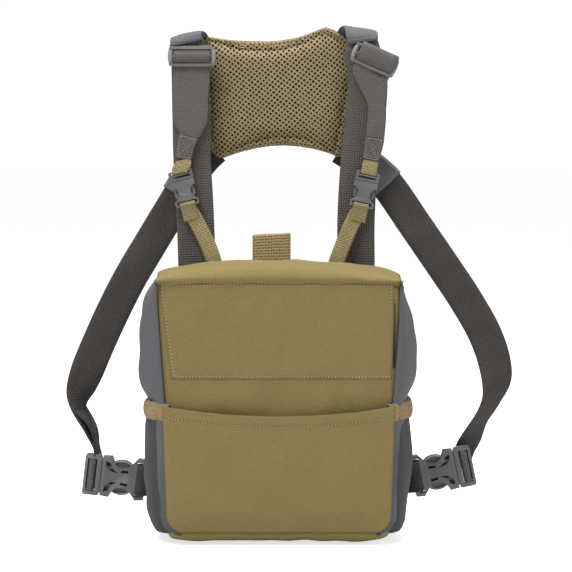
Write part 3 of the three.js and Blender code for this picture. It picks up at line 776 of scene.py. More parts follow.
def wall(name, node, low, high, outward, cap, seed):
    """A padded wall that encloses its foam, tan outside and lined inside."""
    loop = border(node, (0, -1, 0))
    piece = slab(name, loop, 1, low, high, [CANVAS, LINING], inset=1 * MM)
    puff(piece, cap)
    dent(piece, 0.7 * MM, seed)
    line_inside(piece, (0, -outward, 0))
    return settle(piece, "pack", "tan_fabric", node)


def base():
    """The base: a padded cover round its foam, in a paler, greener copy of the canvas painted as light
    from below.
    """
    loop = border("base_panel", (0, 0, -1))
    loop = loop * np.array([1.12, 1.16, 1.0])
    piece = slab("base_cover", loop, 2, -2.2 * MM, 8.0 * MM, [LIT_BASE_CANVAS, LINING], edge=3 * MM)
    puff(piece, 2.5 * MM)
    dent(piece, 0.6 * MM, 5, axis=2)
    line_inside(piece, (0, 0, 1))
    settle(piece, "pack", "tan_fabric", "base_panel")


def gusset(side, sign):
    """The pleated side wall, pushed outwards above the pocket's mouth."""

    def surface(u, v):
        z = 3 * MM + 193 * MM * v
        across = 2 * u - 1
        edge = reach(FRONT_EDGE, z) - 1.2 * MM
        swell = (reach(GUSSET_REACH[side], z) - edge) * (1 - across**2) ** 0.7
        corner = 14 * MM * rounding(16 * MM, z)
        pleat = 0.9 * np.sin(across * 7 + z / (23 * MM) + 2 * sign)
        crease = (1.2 * ripple(43 * MM * across, z, 11 + sign) + pleat) * MM * (1 - across**2)
        return sign * (edge + swell + crease - corner), 43.8 * MM * across, z

    piece = sheet(f"{side}_gusset_wall", surface, 36, 64, 2 * MM, KNIT, LINING, flip=sign < 0)
    settle(piece, "pack", "grey_fabric", f"{side}_gusset")


def pocket_line(side, across, z):
    """The stretch pocket's cross-section: it folds in towards its mouth and wraps both upright
    edges of the pouch. Gives x and y for `across` from -1 to 1."""
    seed = 4 if side == "right" else 2
    share = z / (90 * MM)
    folds = np.sin(across * 10 + 1.2 * np.sin(share * 4 + seed) + seed)
    full = 1 - np.abs(across) ** 3.4
    seam = 2.2 * MM * np.exp(-(((across + 0.8) / 0.04) ** 2))
    round_bottom = (9 - 5 * full) * MM * rounding(12 * MM, z)
    soft = 0.6 * MM * ripple(across * 0.045, z, seed) + 1.1 * MM * folds * share
    edge = half_width(np.maximum(z, 12 * MM)) - 4.5 * MM
    x = edge + (reach(POCKET_REACH[side], z) - edge + soft) * full
    return x - round_bottom - seam, 46.8 * MM * across


def side_pocket(side, sign):
    """The dark stretch pocket, with a paler strip along its front edge."""

    def surface(u, v):
        z = 1.8 * MM + 90.7 * MM * v
        x, y = pocket_line(side, 2 * u - 1, z)
        return sign * x, y, z

    name = f"{side}_stretch_pocket"
    piece = sheet(name, surface, 56, 44, 1.2 * MM, DARK_KNIT, EDGE_KNIT, flip=sign < 0)
    front_strip = [int(face.center.y < -39.5 * MM) for face in piece.data.polygons]
    piece.data.polygons.foreach_set("material_index", front_strip)
    settle(piece, "pack", "grey_fabric", f"{side}_side_pocket")
    binding(side, sign)


def binding(side, sign):
    """Elastic tape folded over the pocket's mouth and gathered along it."""

    def surface(u, v):
        turn = v * 2 * math.pi + math.pi
        centre = 96.4 * MM + 0.8 * MM * np.sin(u * 9)
        gather = 0.55 * MM * np.sin(u * 2 * math.pi * 24 + 1.2 * np.sin(v * 9) + np.sin(u * 23))
        x, y = pocket_line(side, 2 * u - 1, 92 * MM)
        x = x + (1.9 * MM + gather) * np.cos(turn)
        z = centre + (6.4 * MM + 0.5 * gather) * np.sin(turn)
        return sign * x, y, z

    piece = sheet(f"{side}_pocket_tape", surface, 240, 20, 0.7 * MM, BINDING, flip=sign > 0)
    settle(piece, "pack", "tan_webbing", f"{side}_pocket_binding")


def front_skin(padding):
    """The front's canvas, drawn over the padding and wrapped round its upright edges."""

    def surface(u, v):
        across = 2 * u - 1
        z = (3 + 191 * v) * MM
        corner = 14 * MM * rounding(16 * MM, z)
        x = across * (reach(FRONT_EDGE, z) - corner)
        inner = np.stack([x * 0.9, 0 * x + FRONT_Y, np.clip(z, 12 * MM, 184 * MM)], -1)
        rest = padding.meet(inner, (0, 1, 0), 0.6 * MM)[:, 1].reshape(x.shape)
        wrap = 4.5 * MM * np.abs(across) ** 16
        soft = 0.5 * MM * ripple(x, z, 19) * (1 - across**4)
        return x, rest - soft + wrap, z

    piece = sheet("front_canvas", surface, 100, 70, 1.0 * MM, CANVAS)
    settle(piece, "pack", "tan_fabric")
    return Surface(piece)


def slip_pocket():
    """The front slip pocket: bellied, with a folded hem along its drooping mouth."""
    seam = 4.4 * MM

    def mouth(across):
        return 95 * MM + 7.5 * MM * across**2

    def surface(u, v):
        across = 2 * u - 1
        z = seam + (mouth(across) - seam) * v
        corner = 9 * MM * rounding(12 * MM, z - seam)
        x = across * (reach(FRONT_EDGE, z) - 0.4 * MM - corner)
        belly = 5.5 * MM * (1 - across**6) * (0.35 + 0.65 * v) * np.minimum(1, v * 6)
        hem = 0.7 * MM * (z > mouth(across) - 7.5 * MM)
        soft = 1.1 * MM * ripple(x, z, 23) * (1 - across**8) * np.minimum(1, v * 5)
        return x, FRONT_Y - 3.2 * MM - belly - hem - soft, z

    piece = sheet("slip_pocket", surface, 96, 72, 1.5 * MM, CANVAS)
    settle(piece, "pack", "tan_fabric", "front_pocket")
    skin = Surface(piece)
    x = np.linspace(-0.965, 0.965, 60)
    hem = [(a * 89 * MM, FRONT_Y, mouth(a) - 8.3 * MM) for a in x]
    line = skin.meet(hem, (0, 1, 0), 0.1 * MM)
    stitches("slip_pocket_stitches", [line], (0, -1, 0), "pack")
    return skin


def laid_on(front, x, z, off):
    """How far forward a sheet lies on the front, `off` away from it."""
    ahead = np.stack([x, np.full_like(x, FRONT_Y), z], -1)
    return front.meet(ahead, (0, 1, 0), off)[:, 1].reshape(x.shape)


def upper_pocket(front):
    """The flat pocket above: sewn on three sides, its right side lifting over a dark strip that paints
    the slit's shadow.
    """

    def surface(u, v):
        z = (122.5 + 74.3 * v) * MM
        left = (-83 - 9 * v) * MM
        right = (87.0 + 1.6 * v) * MM
        x = left + (right - left) * u
        open_part = np.clip((v - 0.1) * 6, 0, 1) * np.clip((0.86 - v) * 6, 0, 1)
        lift = 2.6 * MM * open_part * np.clip((u - 0.88) / 0.12, 0, 1) ** 1.5
        inside = np.minimum(1, 10 * u * (1 - u)) * np.minimum(1, 8 * v * (1 - v))
        soft = 0.6 * MM * (1 + ripple(x, z, 31)) * inside
        return x, laid_on(front, x, z, 0.35 * MM) - lift - soft, z

    # painted shadow: a dark lining strip under the pocket's lifted right edge
    def slit(u, v):
        z = (131 + 50 * v) * MM
        x = (82 + 7.4 * u) * MM
        return x, laid_on(front, x, z, 0.15 * MM), z

    settle(sheet("upper_pocket_slit_shadow", slit, 6, 30, 0.3 * MM, LINING), "pack", "tan_fabric")
    piece = sheet("upper_pocket", surface, 90, 40, 0.6 * MM, CANVAS)
    settle(piece, "pack", "tan_fabric", "upper_front_pocket")
    skin = Surface(piece)
    at = lambda x, z: (x * MM, FRONT_Y, z * MM)
    wobble = lambda k: 0.25 * math.sin(k * 1.7)
    left = [at(-80.4 - 9.8 * k / 20 + wobble(k), 124.8 + 69 * k / 20) for k in range(21)]
    bottom = [at(-80.4 + 166.5 * k / 30, 124.8 + wobble(k)) for k in range(31)]
    top = [at(-90.2 + 177.6 * k / 40, 195.0 + wobble(k)) for k in range(41)]
    right = [at(86.6, 181 + 13 * k / 5) for k in range(6)]
    lines = [skin.meet(line, (0, 1, 0), 0.1 * MM) for line in (left, bottom, right, top)]
    stitches("upper_pocket_stitches", lines, (0, -1, 0), "pack")


def comfort_pad():
    """The padded panel on the wearer's side, sewn across in two rows."""
    loop = border("comfort_pad", (0, 1, 0))
    piece = slab("wearer_pad", loop, 1, 46.2 * MM, 52 * MM, SPACER, inset=0.5 * MM)
    puff(piece, 4 * MM, voxel=4 * MM)
    points = points_of(piece)
    for height in (50 * MM, 94 * MM):
        near = np.exp(-(((points[:, 2] - height) / (3 * MM)) ** 2))
        back = np.clip((points[:, 1] - 49 * MM) / (4 * MM), 0, 1)
        points[:, 1] -= 3.2 * MM * near * back
    move_points(piece, points)
    project_uv(piece)
    settle(piece, "pack", "tan_mesh", "comfort_pad")
    skin = Surface(piece)
    rows = [[(x * MM, 50 * MM, z * MM) for x in range(-66, 67, 3)] for z in (50, 94)]
    lines = [skin.meet(row, (0, -1, 0), 0.1 * MM) for row in rows]
    stitches("wearer_pad_stitches", lines, (0, 1, 0), "pack")


def pouch():
    """Everything that is sewn to the pouch, walls first, since the front's sheets lie on them."""
    front = wall("front_wall", "front_panel", -43.6 * MM, -36.9 * MM, -1, 2.2 * MM, 41)
    wall("back_wall", "back_panel", 38.2 * MM, 45.0 * MM, 1, 2 * MM, 43)
    base()
    skin = front_skin(Surface(front))
    slip_pocket()
    upper_pocket(skin)
    for side, sign in SIDES:
        gusset(side, sign)
        side_pocket(side, sign)
    comfort_pad()


# ---- Lid ------------------------------------------------------------------------------------

LID_HALF = 94.6 * MM
# The lid's section: y and z in mm, up round the front edge and then back across the top.
LID_ROLL = (
    (-43.6, 188.0), (-44.2, 194.0), (-45.4, 196.6), (-48.2, 198.6), (-48.0, 201.0), (-45.4, 204.6),
)
LID_CREST = (
    (-40.5, 206.9), (-34.0, 206.8), (-24.0, 207.6), (-8.0, 209.4), (10.0, 209.4), (24.0, 208.0),
    (34.2, 202.6),
)


def smooth_profile(points, share):
    """A rounded line through (y, z) points in mm, sampled at shares of its length."""
    points = rounded(np.array(points, float) * MM)
    length = np.concatenate([[0], np.cumsum(np.linalg.norm(np.diff(points, axis=0), axis=1))])
    at = share * length[-1]
    return np.interp(at, length, points[:, 0]), np.interp(at, length, points[:, 1])


def lid_cover():
    """Canvas that rolls from the front wall over the rounded front edge and across the lid."""

    def top(u, v):
        across = 2 * u - 1
        y, z = smooth_profile(LID_ROLL + LID_CREST, v)
        high = np.clip((z - 197 * MM) / (10 * MM), 0, 1)
        crown = (2.6 - 0.8 * across - 8.0 * across**2 - 3.0 * across**12) * MM * high
        soft = 0.9 * MM * ripple(across * LID_HALF, y, 53) * high
        flare = np.clip((z - 194 * MM) / (10 * MM), 0, 1)
        low_edge = reach(FRONT_EDGE, z) - 1.0 * MM
        x = across * (low_edge + (LID_HALF - low_edge) * flare)
        wrap = 4.5 * MM * np.abs(across) ** 16 * (1 - flare)
        return x, y + wrap, z + crown + soft

    piece = sheet("lid_cover", top, 80, 72, 1.4 * MM, CANVAS)
    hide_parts("lid_top")
    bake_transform(piece)


def lid_lining():
    """The padded underside that closes round the stiffener."""
    loop = border("lid_stiffener", (0, 0, 1))
    centre = loop.mean(0)
    loop = centre + (loop - centre) * np.array([1.1, 1.1, 1.0])
    piece = slab("lid_padding", loop, 2, 197.0 * MM, 202.4 * MM, LINING)
    puff(piece, 1.2 * MM, voxel=4 * MM)
    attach(piece, "lid")


def lid_wing(side, sign):
    """The grey flap that hangs from the lid's end, inside the side wall."""
    def surface(u, v):
        y = (-38 + 68 * u) * MM
        depth = 12.6 * MM * (1 - np.abs(2 * u - 1) ** 5)
        z = 197.0 * MM - (depth + 1.5 * MM) * v
        x = 91.6 * MM + 2.6 * MM * v + 0.4 * MM * ripple(y, z, 61 + sign) * v
        return sign * x, y, z

    piece = sheet(f"{side}_lid_wing", surface, 40, 12, 1.5 * MM, KNIT, flip=sign > 0)
    settle(piece, "lid", "grey_fabric", f"lid_{side}_wing")


def lid_lip():
    """The flap that closes over the rim behind the lid, with its magnet."""

    def surface(u, v):
        x = (-74 + 148 * u) * MM
        corner = 3 * MM * np.abs(2 * u - 1) ** 12
        z = 180 * MM + corner + (204.5 - 180) * MM * v
        y = 33.1 * MM + 0.5 * MM * ripple(x, z, 67)
        return x, y, z

    piece = sheet("lid_rear_flap", surface, 50, 10, 1.6 * MM, CANVAS, LINING, flip=True)
    settle(piece, "lid", "tan_fabric", "lid_rear_lip")
    skin = Surface(piece)
    seam = [(x * MM, 34 * MM, 182.5 * MM) for x in range(-70, 71, 3)]
    line = skin.meet(seam, (0, -1, 0), 0.1 * MM)
    stitches("lid_flap_stitches", [line], (0, 1, 0), "lid")


def pull_tab():
    """A loop of tan webbing: up the front, folded at the top and down the back."""
    low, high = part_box("pull_tab")
    x = (low.x + high.x) / 2
    rise = np.linspace(198.5, 229.0, 14)
    fold = np.linspace(0, math.pi, 8)[1:-1]
    front = [(x, 33.9 * MM, z * MM) for z in rise]
    over = [(x, (35.1 - 1.2 * math.cos(t)) * MM, (229.0 + 1.3 * math.sin(t)) * MM) for t in fold]
    back = [(x, 36.3 * MM, z * MM) for z in rise[::-1]]
    centres = front + over + back
    path = Trace(centres, [(1, 0, 0)] * len(centres), [15.2 * MM] * len(centres))
    piece = ribbon("pull_tab_webbing", path, 1.3 * MM, TAN_WEB, wave=0.3 * MM, seed=71)
    points = points_of(piece)
    slope = (points[:, 0] - x) / (15 * MM)
    points[:, 2] += 0.9 * MM * slope * np.clip((points[:, 2] - 205 * MM) / (20 * MM), 0, 1)
    move_points(piece, points)
    settle(piece, "lid", "tan_webbing", "pull_tab")


def lid():
    lid_cover()
    lid_lining()
    lid_lip()
    pull_tab()
    for side, sign in SIDES:
        lid_wing(side, sign)
    finish_node("lid_stiffener", BOARD, bevel=0.3 * MM)
    finish_node("rim_magnet", NICKEL, bevel=0.3 * MM)
    finish_node("lid_magnet", NICKEL, bevel=0.3 * MM)


def finish_node(node, material, bevel=0.0):
    """Keeps a CAD piece as it is, with its edges eased and its finish put on."""
    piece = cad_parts[node]
    piece.data.materials.clear()
    piece.data.materials.append(material)
    if bevel:
        weld = piece.modifiers.new("weld", "WELD")
        weld.merge_threshold = 0.00001
        ease = piece.modifiers.new("ease", "BEVEL")
        ease.width = bevel
        ease.segments = 3
        ease.limit_method = "ANGLE"
        ease.angle_limit = math.radians(32)
        ease.harden_normals = True
        ease.use_clamp_overlap = True
    piece.data.shade_smooth()


# ---- Harness --------------------------------------------------------------------------------


class BuckleFrame:
    """A side-release buckle's own axes: along runs from the male base into the female half."""

    def __init__(self, mouth, angle, scale):
        turn = math.radians(angle)
        self.mouth = np.array(mouth) * MM
        self.along = np.array([math.cos(turn), 0, -math.sin(turn)])
        self.across = np.array([math.sin(turn), 0, math.cos(turn)])
        self.scale = scale

    def point(self, along, depth, across=0.0):
        """In the buckle's own mm, before scaling."""
        local = self.along * along + self.across * across + np.array([0, depth, 0])
        return self.mouth + local * self.scale * MM

    def run(self, steps, width, spacing=0.7 * MM):
        """A band of webbing square to the buckle, through (along, depth) points."""
        points = spaced(rounded(np.array([self.point(*step) for step in steps])), spacing)
        return Trace(points, [self.across] * len(points), [width / 2 * MM] * len(points))


TETHER_SCALE = 0.58
LARGE = {
    "left": BuckleFrame((-143.7, 48, 35.2), 6.7, 1.0),
    "right": BuckleFrame((142.6, 48, 41.2), 168, 1.0),
}
SMALL = {
    "left": BuckleFrame((-77.5, 42, 273), 76.4, TETHER_SCALE),
    "right": BuckleFrame((69.8, 42, 272), 102.5, TETHER_SCALE),
}


def shoulder(side, seed):
    """The shoulder strap's webbing, from the back pad down behind the pouch."""
    path = trace(f"{side}_shoulder_strap", (0, 0, 1)).resampled(1.5 * MM).smoothed(6)
    path = path.part(0.1 * MM, -4.5 * MM)
    piece = ribbon(f"{side}_shoulder_webbing", path, 1.7 * MM, SHOULDER_WEB, 0.5 * MM, 0.3 * MM, seed)
    settle(piece, "pack", "grey_webbing", f"{side}_shoulder_strap")


# Each top wing's run over the shoulder, front to back: x, y, z and width in mm, then its slant.
WINGS = {
    "left": (
        ((-73.6, 45.0, 381.6, 26), (-74.6, 45.4, 386.0, 26), (-74.4, 49, 388.6, 26), (-73, 57, 389, 26),
         (-71, 66, 388, 26), (-69.5, 72, 385, 26.5), (-68, 76, 379, 27)),
        0.24,
    ),
    "right": (
        ((66.9, 45.2, 382.5, 25), (66.2, 45.6, 387.5, 26), (65.5, 50, 391.8, 27),
         (64.4, 57, 393.6, 27.5), (62.6, 66, 393.2, 27.5), (60.5, 72, 389.8, 28), (58.5, 76, 383, 28)),
        -0.17,
    ),
}


def top_wing(side, sign):
    """A cap of grey fabric folded over the shoulder, cut on a slant."""
    rows, slant = WINGS[side]
    points, half = np.array(rows)[:, :3] * MM, np.array(rows)[:, 3] / 2 * MM
    path = Trace(points, [(1, 0, slant)] * len(rows), half).resampled(1.5 * MM).smoothed(4)
    piece = ribbon(f"{side}_wing_cap", path, 2.2 * MM, KNIT, 0.6 * MM, 0.6 * MM, 81 + sign)
    subdivide(piece)
    settle(piece, "pack", "grey_fabric", f"{side}_top_wing")
    hem = path.part(0.1 * MM, 6 * MM)
    stitch_at = lambda s: hem.centres[1] + hem.sides[1] * hem.half[1] * s - Vector((0, 1.7 * MM, 0))
    edge = [stitch_at(s) for s in np.linspace(-0.9, 0.9, 9)]
    stitches(f"{side}_wing_stitches", [edge], (0, -1, 0), "pack", GREY_THREAD, 2.2 * MM, 0.2 * MM)


SLIDER_TILT = {"left": 0, "right": 24}  # degrees in the front view

# The elastic strap's way past the slider: mm down the slider and mm behind its middle.
WEAVE = {
    "left": (
        (-8.6, 3.6), (-7.8, 3.2), (-6.4, 2.2), (-3.6, -0.6), (-1.5, -2.1), (0.8, -2.3), (3.2, -0.8),
        (6.2, 2.0), (9.5, 2.6),
    ),
    "right": (
        (-6, 4.2), (-8.5, 3.0), (-10.2, 0.4), (-9.0, -2.4), (-6.2, -3.2), (0.0, -3.2), (3.4, -1.4),
        (6.2, 2.0), (9.0, 2.8),
    ),
}


SLIDER_FILL = {"left": (29.6, 0), "right": (31.6, 1.6)}  # the elastic's width there and its offset


def slider_axes(side):
    """The slider's middle, the way down its strap and the way along its bars."""
    low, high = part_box(f"{side}_slider")
    tilt = math.radians(SLIDER_TILT[side])
    down = np.array([-math.sin(tilt), 0, -math.cos(tilt)])
    bar = np.array([math.cos(tilt), 0, -math.sin(tilt)])
    return np.array((low + high) / 2), down, bar


def elastic(side, sign):
    """The elastic tether strap: down from the shoulder, through the slider, then hanging free."""
    node = f"{side}_elastic_strap"
    centre, down, bar = slider_axes(side)
    hanging = trace(node, (0, 0, -1)).smoothed(1)
    below = hanging.centres[:, 2] < centre[2] - 15 * MM
    hanging = Trace(hanging.centres[below], hanging.sides[below], hanging.half[below])
    sides = hanging.sides * np.sign(hanging.sides @ bar)[:, None]
    width, offset = SLIDER_FILL[side]
    start = centre + bar * offset * MM
    weave = np.array([start + down * a * MM + np.array([0, d * MM, 0]) for a, d in WEAVE[side]])
    centres = np.concatenate([weave, hanging.centres])
    turns = np.concatenate([np.tile(bar, (len(weave), 1)), sides])
    half = np.concatenate([np.full(len(weave), width / 2 * MM), hanging.half])
    path = Trace(centres, turns, half).resampled(1.2 * MM).smoothed(2)
    hangs = np.clip((path.length - 26 * MM) / (10 * MM), 0, 1)
    path.half = path.half * (1 + hangs * 0.06 * ripple(path.length, 0.0, 71 + sign))
    cuts = [np.argmin(np.linalg.norm(path.centres - weave[k], axis=1)) for k in (2, 7)]
    pieces = {
        "above": (0, cuts[0] + 2),
        "through": (cuts[0], cuts[1] + 1),
        "below": (cuts[1] - 1, len(path.centres)),
    }
    made = {}
    for part, (first, last) in pieces.items():
        run = Trace(path.centres[first:last], path.sides[first:last], path.half[first:last])
        run.length = run.length + path.length[first]
        wave = 0.0 if part != "below" else 0.7 * MM
        made[part] = ribbon(f"{side}_elastic_{part}", run, 1.3 * MM, ELASTIC_WEB, wave, 0, 91 + sign)
    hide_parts(node)
    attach(made["through"], f"{side}_slider")
    top, under = weave[0], weave[7]
    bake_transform(made["above"])
    end = path.centres[-1]
    near = under + (end - under) * 0.08
    far = under + (end - under) * 0.85
    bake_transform(made["below"], f"{side}_slider", "pack", start=tuple(near), end=tuple(far))
    shoulder_lead(side)
    elastic_cuff(side, path)


# The band from under each top wing down behind the slider, in mm, and its width.
LEADS = {
    "left": (((-74.2, 47.4, 384.2), (-73.2, 47.7, 380), (-71.2, 47.6, 372), (-70, 47.4, 364)), 27.4),
    "right": (((65.6, 47.8, 387), (67.0, 48, 380), (69.0, 47.8, 372), (71, 47.6, 364)), 24.5),
}


def shoulder_lead(side):
    points, width = LEADS[side]
    path = Trace(np.array(points) * MM, [(1, 0, 0.1)] * len(points), [width / 2 * MM] * len(points))
    piece = ribbon(f"{side}_lead_webbing", path.resampled(1.5 * MM), 1.3 * MM, ELASTIC_WEB, 0, 0, 93)
    settle(piece, "pack", "grey_webbing")


def elastic_cuff(side, path):
    """The elastic's folded end, sewn down over the tan loop."""
    cuff = path.part(-19 * MM, 0)
    cuff.half = cuff.half + 0.3 * MM
    piece = ribbon(f"{side}_elastic_cuff", cuff, 3.4 * MM, ELASTIC_WEB, 0.2 * MM, 0.2 * MM, 94)
    settle(piece, "pack", "grey_webbing")
    box_stitch(f"{side}_elastic_stitches", cuff, -1, GREY_THREAD, lift=1.95 * MM)


def box_stitch(name, path, front, material=None, inset=0.78, body="pack", cross=True, lift=1.05 * MM):
    """A stitched box with a cross, on one face of a run of webbing."""
    last = len(path.centres) - 1

    def edge(k, s):
        beside = path.sides[k] * path.half[k] * s * inset
        return path.centres[k] + beside + path.normals[k] * lift * front

    corners = [edge(1, -1), edge(last - 1, -1), edge(last - 1, 1), edge(1, 1), edge(1, -1)]
    lines = [corners]
    if cross:
        lines += [[corners[0], corners[2]], [corners[1], corners[3]]]
    facing = path.normals[last // 2] * front
    stitches(name, lines, facing, body, material, pitch=1.9 * MM, radius=0.24 * MM)


def slider_grips(side):
    """The rounded grips at both ends of the slider's frame, painted paler as a highlight."""
    centre, down, bar = slider_axes(side)
    points, faces = [], []
    for end in (-1, 1):
        middle = centre + bar * end * 17.4 * MM
        capsule(points, faces, middle, down * 6.6 * MM, bar, np.array([0.0, 1.0, 0.0]), 2.3 * MM)
    piece = add_closed(f"{side}_slider_grips", np.array(points), faces, PLASTIC_HIGHLIGHT)
    subdivide(piece, 2)
    settle(piece, f"{side}_slider", "buckle_plastic")


def tether_loop(side):
    """A short loop of tan webbing through the small buckle's bar."""
    buckle = SMALL[side]
    top = trace(f"{side}_elastic_strap", (0, 0, -1)).centres[-1]
    steps = [
        (-29, -1.4), (-20, -3.6), (-12, -4.9), (-10.2, -3.4), (-10.1, 3.4), (-12, 5.0), (-20, 3.8),
        (-29, 1.4),
    ]
    path = buckle.run(steps, 12.3, 0.5 * MM)
    shift = np.clip((path.centres - buckle.point(-14, 0)) @ -buckle.along / (6 * MM), 0, 1)
    target = top - buckle.point(-26, 0)
    path = Trace(path.centres + shift[:, None] * target * np.array([1, 1, 0.0]), path.sides, path.half)
    piece = ribbon(f"{side}_loop_webbing", path, 1.1 * MM, TETHER_WEB, 0.15 * MM, 0, 95)
    settle(piece, "pack", "tan_webbing", f"{side}_tether_loop")


def tether(side, seed):
    """Tether webbing: folded through the small buckle's female bar, then down into the pouch."""
    buckle = SMALL[side]
    body = f"{side}_tether"
    run = trace(f"{side}_tether_webbing", (0, 0, -1)).smoothed(4).resampled(1.5 * MM)
    in_front_of_wall = 35.05 * MM + 0.22 * np.maximum(0, run.centres[:, 2] - 212 * MM)
    run.centres[:, 1] = np.minimum(run.centres[:, 1], in_front_of_wall)
    run = run.smoothed(3)
    piece = ribbon(f"{side}_tether_band", run, 1.3 * MM, TETHER_WEB, 0.5 * MM, 0.2 * MM, seed)
    settle(piece, body, "tan_webbing", f"{side}_tether_webbing")
    fold = [
        (44, 1.2), (38, 2.6), (34, 4.6), (31.2, 4.2), (30.7, 0), (31.2, -5.2), (34, -6.4), (40, -3.4),
        (56, -2.6),
    ]
    path = buckle.run(fold, 12.3, 0.5 * MM)
    wrap = ribbon(f"{side}_tether_fold", path, 1.1 * MM, TETHER_WEB, 0.1 * MM, 0, seed)
    settle(wrap, body, "tan_webbing")
    box_stitch(f"{side}_tether_stitches", path.part(-9 * MM, 0), 1, body=body)


def side_strap(side, sign):
    """The dark side strap, from the pad's corner down to the large buckle's male half."""
    node = f"{side}_side_strap"
    run = trace(node, (0, 0, -1))
    low = np.clip((100 * MM - run.centres[:, 2]) / (45 * MM), 0, 1)
    run = Trace(run.centres + np.outer(low, [-sign * 3.2 * MM, 0, 0]), run.sides, run.half)
    path = gathered(run, LARGE[side].point(-4.5, 6.5, 4), 1.0).part(9 * MM, -0.1 * MM)
    piece = ribbon(f"{side}_side_webbing", path, 1.2 * MM, DARK_WEB, 0.7 * MM, 0.3 * MM, 101 + sign)
    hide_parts(node)
    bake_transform(piece)
    return run


def gathered(run, end, width):
    """A strand that bunches up as it slants behind a buckle's bar."""
    last = run.centres[-1]
    drop = [last + (end - last) * t for t in (0.4, 0.75, 1.0)]
    centres = np.concatenate([run.centres, drop])
    sides = np.concatenate([run.sides, np.tile(run.sides[-1], (3, 1))])
    narrowing = run.half[-4:] * [0.97, 0.9, 0.8, 0.68]
    half = np.concatenate([run.half[:-4], narrowing, np.array([8, 6.5, 5.5]) * MM])
    return Trace(centres, sides, half * width).resampled(1.5 * MM).smoothed(6)


def free_tail(side, sign, run):
    """The strap's loose end, hanging back up beside the main run."""
    end = Trace(run.centres[-8:], run.sides[-8:], run.half[-8:])
    lean = np.sin(np.linspace(0, 1, 8) * math.pi)[:, None]
    shift = np.array([-sign * 5.5 * MM, 0, 0]) * lean + np.array([0, 2.2 * MM, 0])
    path = Trace(end.centres + shift, end.sides, end.half)
    path = gathered(path, LARGE[side].point(0.5, 6.5, 4), 0.96)
    piece = ribbon(f"{side}_strap_tail", path, 1.2 * MM, DARK_WEB, 0.8 * MM, 0.3 * MM, 111 + sign)
    start, end = path.centres[0], path.centres[-1]
    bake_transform(piece)


def ladder_band(side):
    """The strap's turn over the middle bar of the large buckle's male half."""
    steps = [
        (-13.0, 4.6), (-11.0, 3.4), (-10.3, 0), (-9.6, -3.6), (-7.8, -4.5), (-6.0, -3.6),
        (-5.3, 0), (-5.0, 3.6), (-8, 5.4), (-13, 5.8),
    ]
    path = LARGE[side].run(steps, 25.6)
    piece = ribbon(f"{side}_ladder_webbing", path, 1.7 * MM, ELASTIC_WEB)
    settle(piece, f"{side}_buckle_male", "dark_webbing")


def strap_patch(side, run, sign):
    """A pale folded sleeve round the side strap, near the pad's corner."""
    low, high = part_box(f"{side}_strap_patch")
    inside = (run.centres[:, 2] > low.z + 9 * MM) & (run.centres[:, 2] < high.z - 9 * MM)
    path = Trace(run.centres[inside], run.sides[inside], run.half[inside] + 1.8 * MM)
    path = path.resampled(1.5 * MM)
    piece = ribbon(f"{side}_sleeve", path, 4.6 * MM, PALE_KNIT, 0.5 * MM, 0.5 * MM, 121 + sign)
    subdivide(piece)
    settle(piece, "pack", "grey_fabric", f"{side}_strap_patch")
    front = -1 if path.normals[1][1] > 0 else 1
    lines = path.lifted(1.4 * MM * front)
    box_stitch(f"{side}_sleeve_stitches", lines, front, GREY_THREAD, 0.86, cross=False)


def press_rims(side):
    """The raised oval rim round the dish of each press pad of the large buckle, painted paler as a
    highlight.
    """
    buckle = LARGE[side]
    up = {"left": 1, "right": -1}[side]
    turns, wraps = 36, 8
    around = np.repeat(np.arange(turns) * 2 * math.pi / turns, wraps)
    tube = np.tile(np.arange(wraps) * 2 * math.pi / wraps, turns)
    reach_out = 0.75 * np.cos(tube)
    along = 16.8 + (6.7 + reach_out) * np.cos(around)
    across = (3.2 + reach_out) * np.sin(around)
    depth = -2.2 - 0.75 * np.sin(tube)
    faces = tube_faces(turns, wraps, closed=True)
    for prong, sign in (("upper", up), ("lower", -up)):
        rows = zip(along, depth, 10.1 * sign + across)
        points = np.array([buckle.point(*row) for row in rows])
        piece = add_closed(f"{side}_{prong}_press_rim", points, faces, PLASTIC_HIGHLIGHT)
        subdivide(piece)
        settle(piece, f"{side}_{prong}_prong", "buckle_plastic")


def buckle_tab(side, sign):
    """Webbing from the pouch's back seam, folded round the female half's bar."""
    buckle = LARGE[side]
    seam = np.array([sign * (half_width(28 * MM) + 1 * MM), 47.6 * MM, 28 * MM])
    steps = [
        (43, 1.5), (39.5, -2.5), (36.5, -5.6), (32.5, -6.2), (29.2, -5.4), (28.8, 0), (29.2, 5.4),
        (33.5, 5.9), (38, 5.2), (42, 2.2),
    ]
    outer = buckle.run(steps, 24.6)
    centres = np.concatenate([outer.centres, spaced([outer.centres[-1], seam], 1 * MM)[1:]])
    path = Trace(centres, [buckle.across] * len(centres), [12.3 * MM] * len(centres)).smoothed(4)
    piece = ribbon(f"{side}_tab_webbing", path, 1.9 * MM, DARK_WEB, 0.2 * MM, 0, 131)
    settle(piece, "pack", "dark_webbing", f"{side}_buckle_tab")


def harness():
    for side, sign in SIDES:
        shoulder(side, 77 + sign)
        top_wing(side, sign)
        elastic(side, sign)
        slider_grips(side)
        tether_loop(side)
        tether(side, 97 + sign)
        run = side_strap(side, sign)
        ladder_band(side)
        strap_patch(side, run, sign)
        press_rims(side)
        buckle_tab(side, sign)
        if side == "left":
            free_tail(side, sign, run)
        finish_node(f"{side}_slider", SLIDER_PLASTIC, bevel=0.45 * MM)
        for part in ("female", "male", "prong_upper", "prong_lower"):
            finish_node(f"{side}_buckle_{part}", PLASTIC, bevel=0.5 * MM)
        for part in ("female", "male", "prong_left", "prong_right"):
            finish_node(f"{side}_tether_{part}", PLASTIC, bevel=0.3 * MM)


# ---- Back pad -------------------------------------------------------------------------------


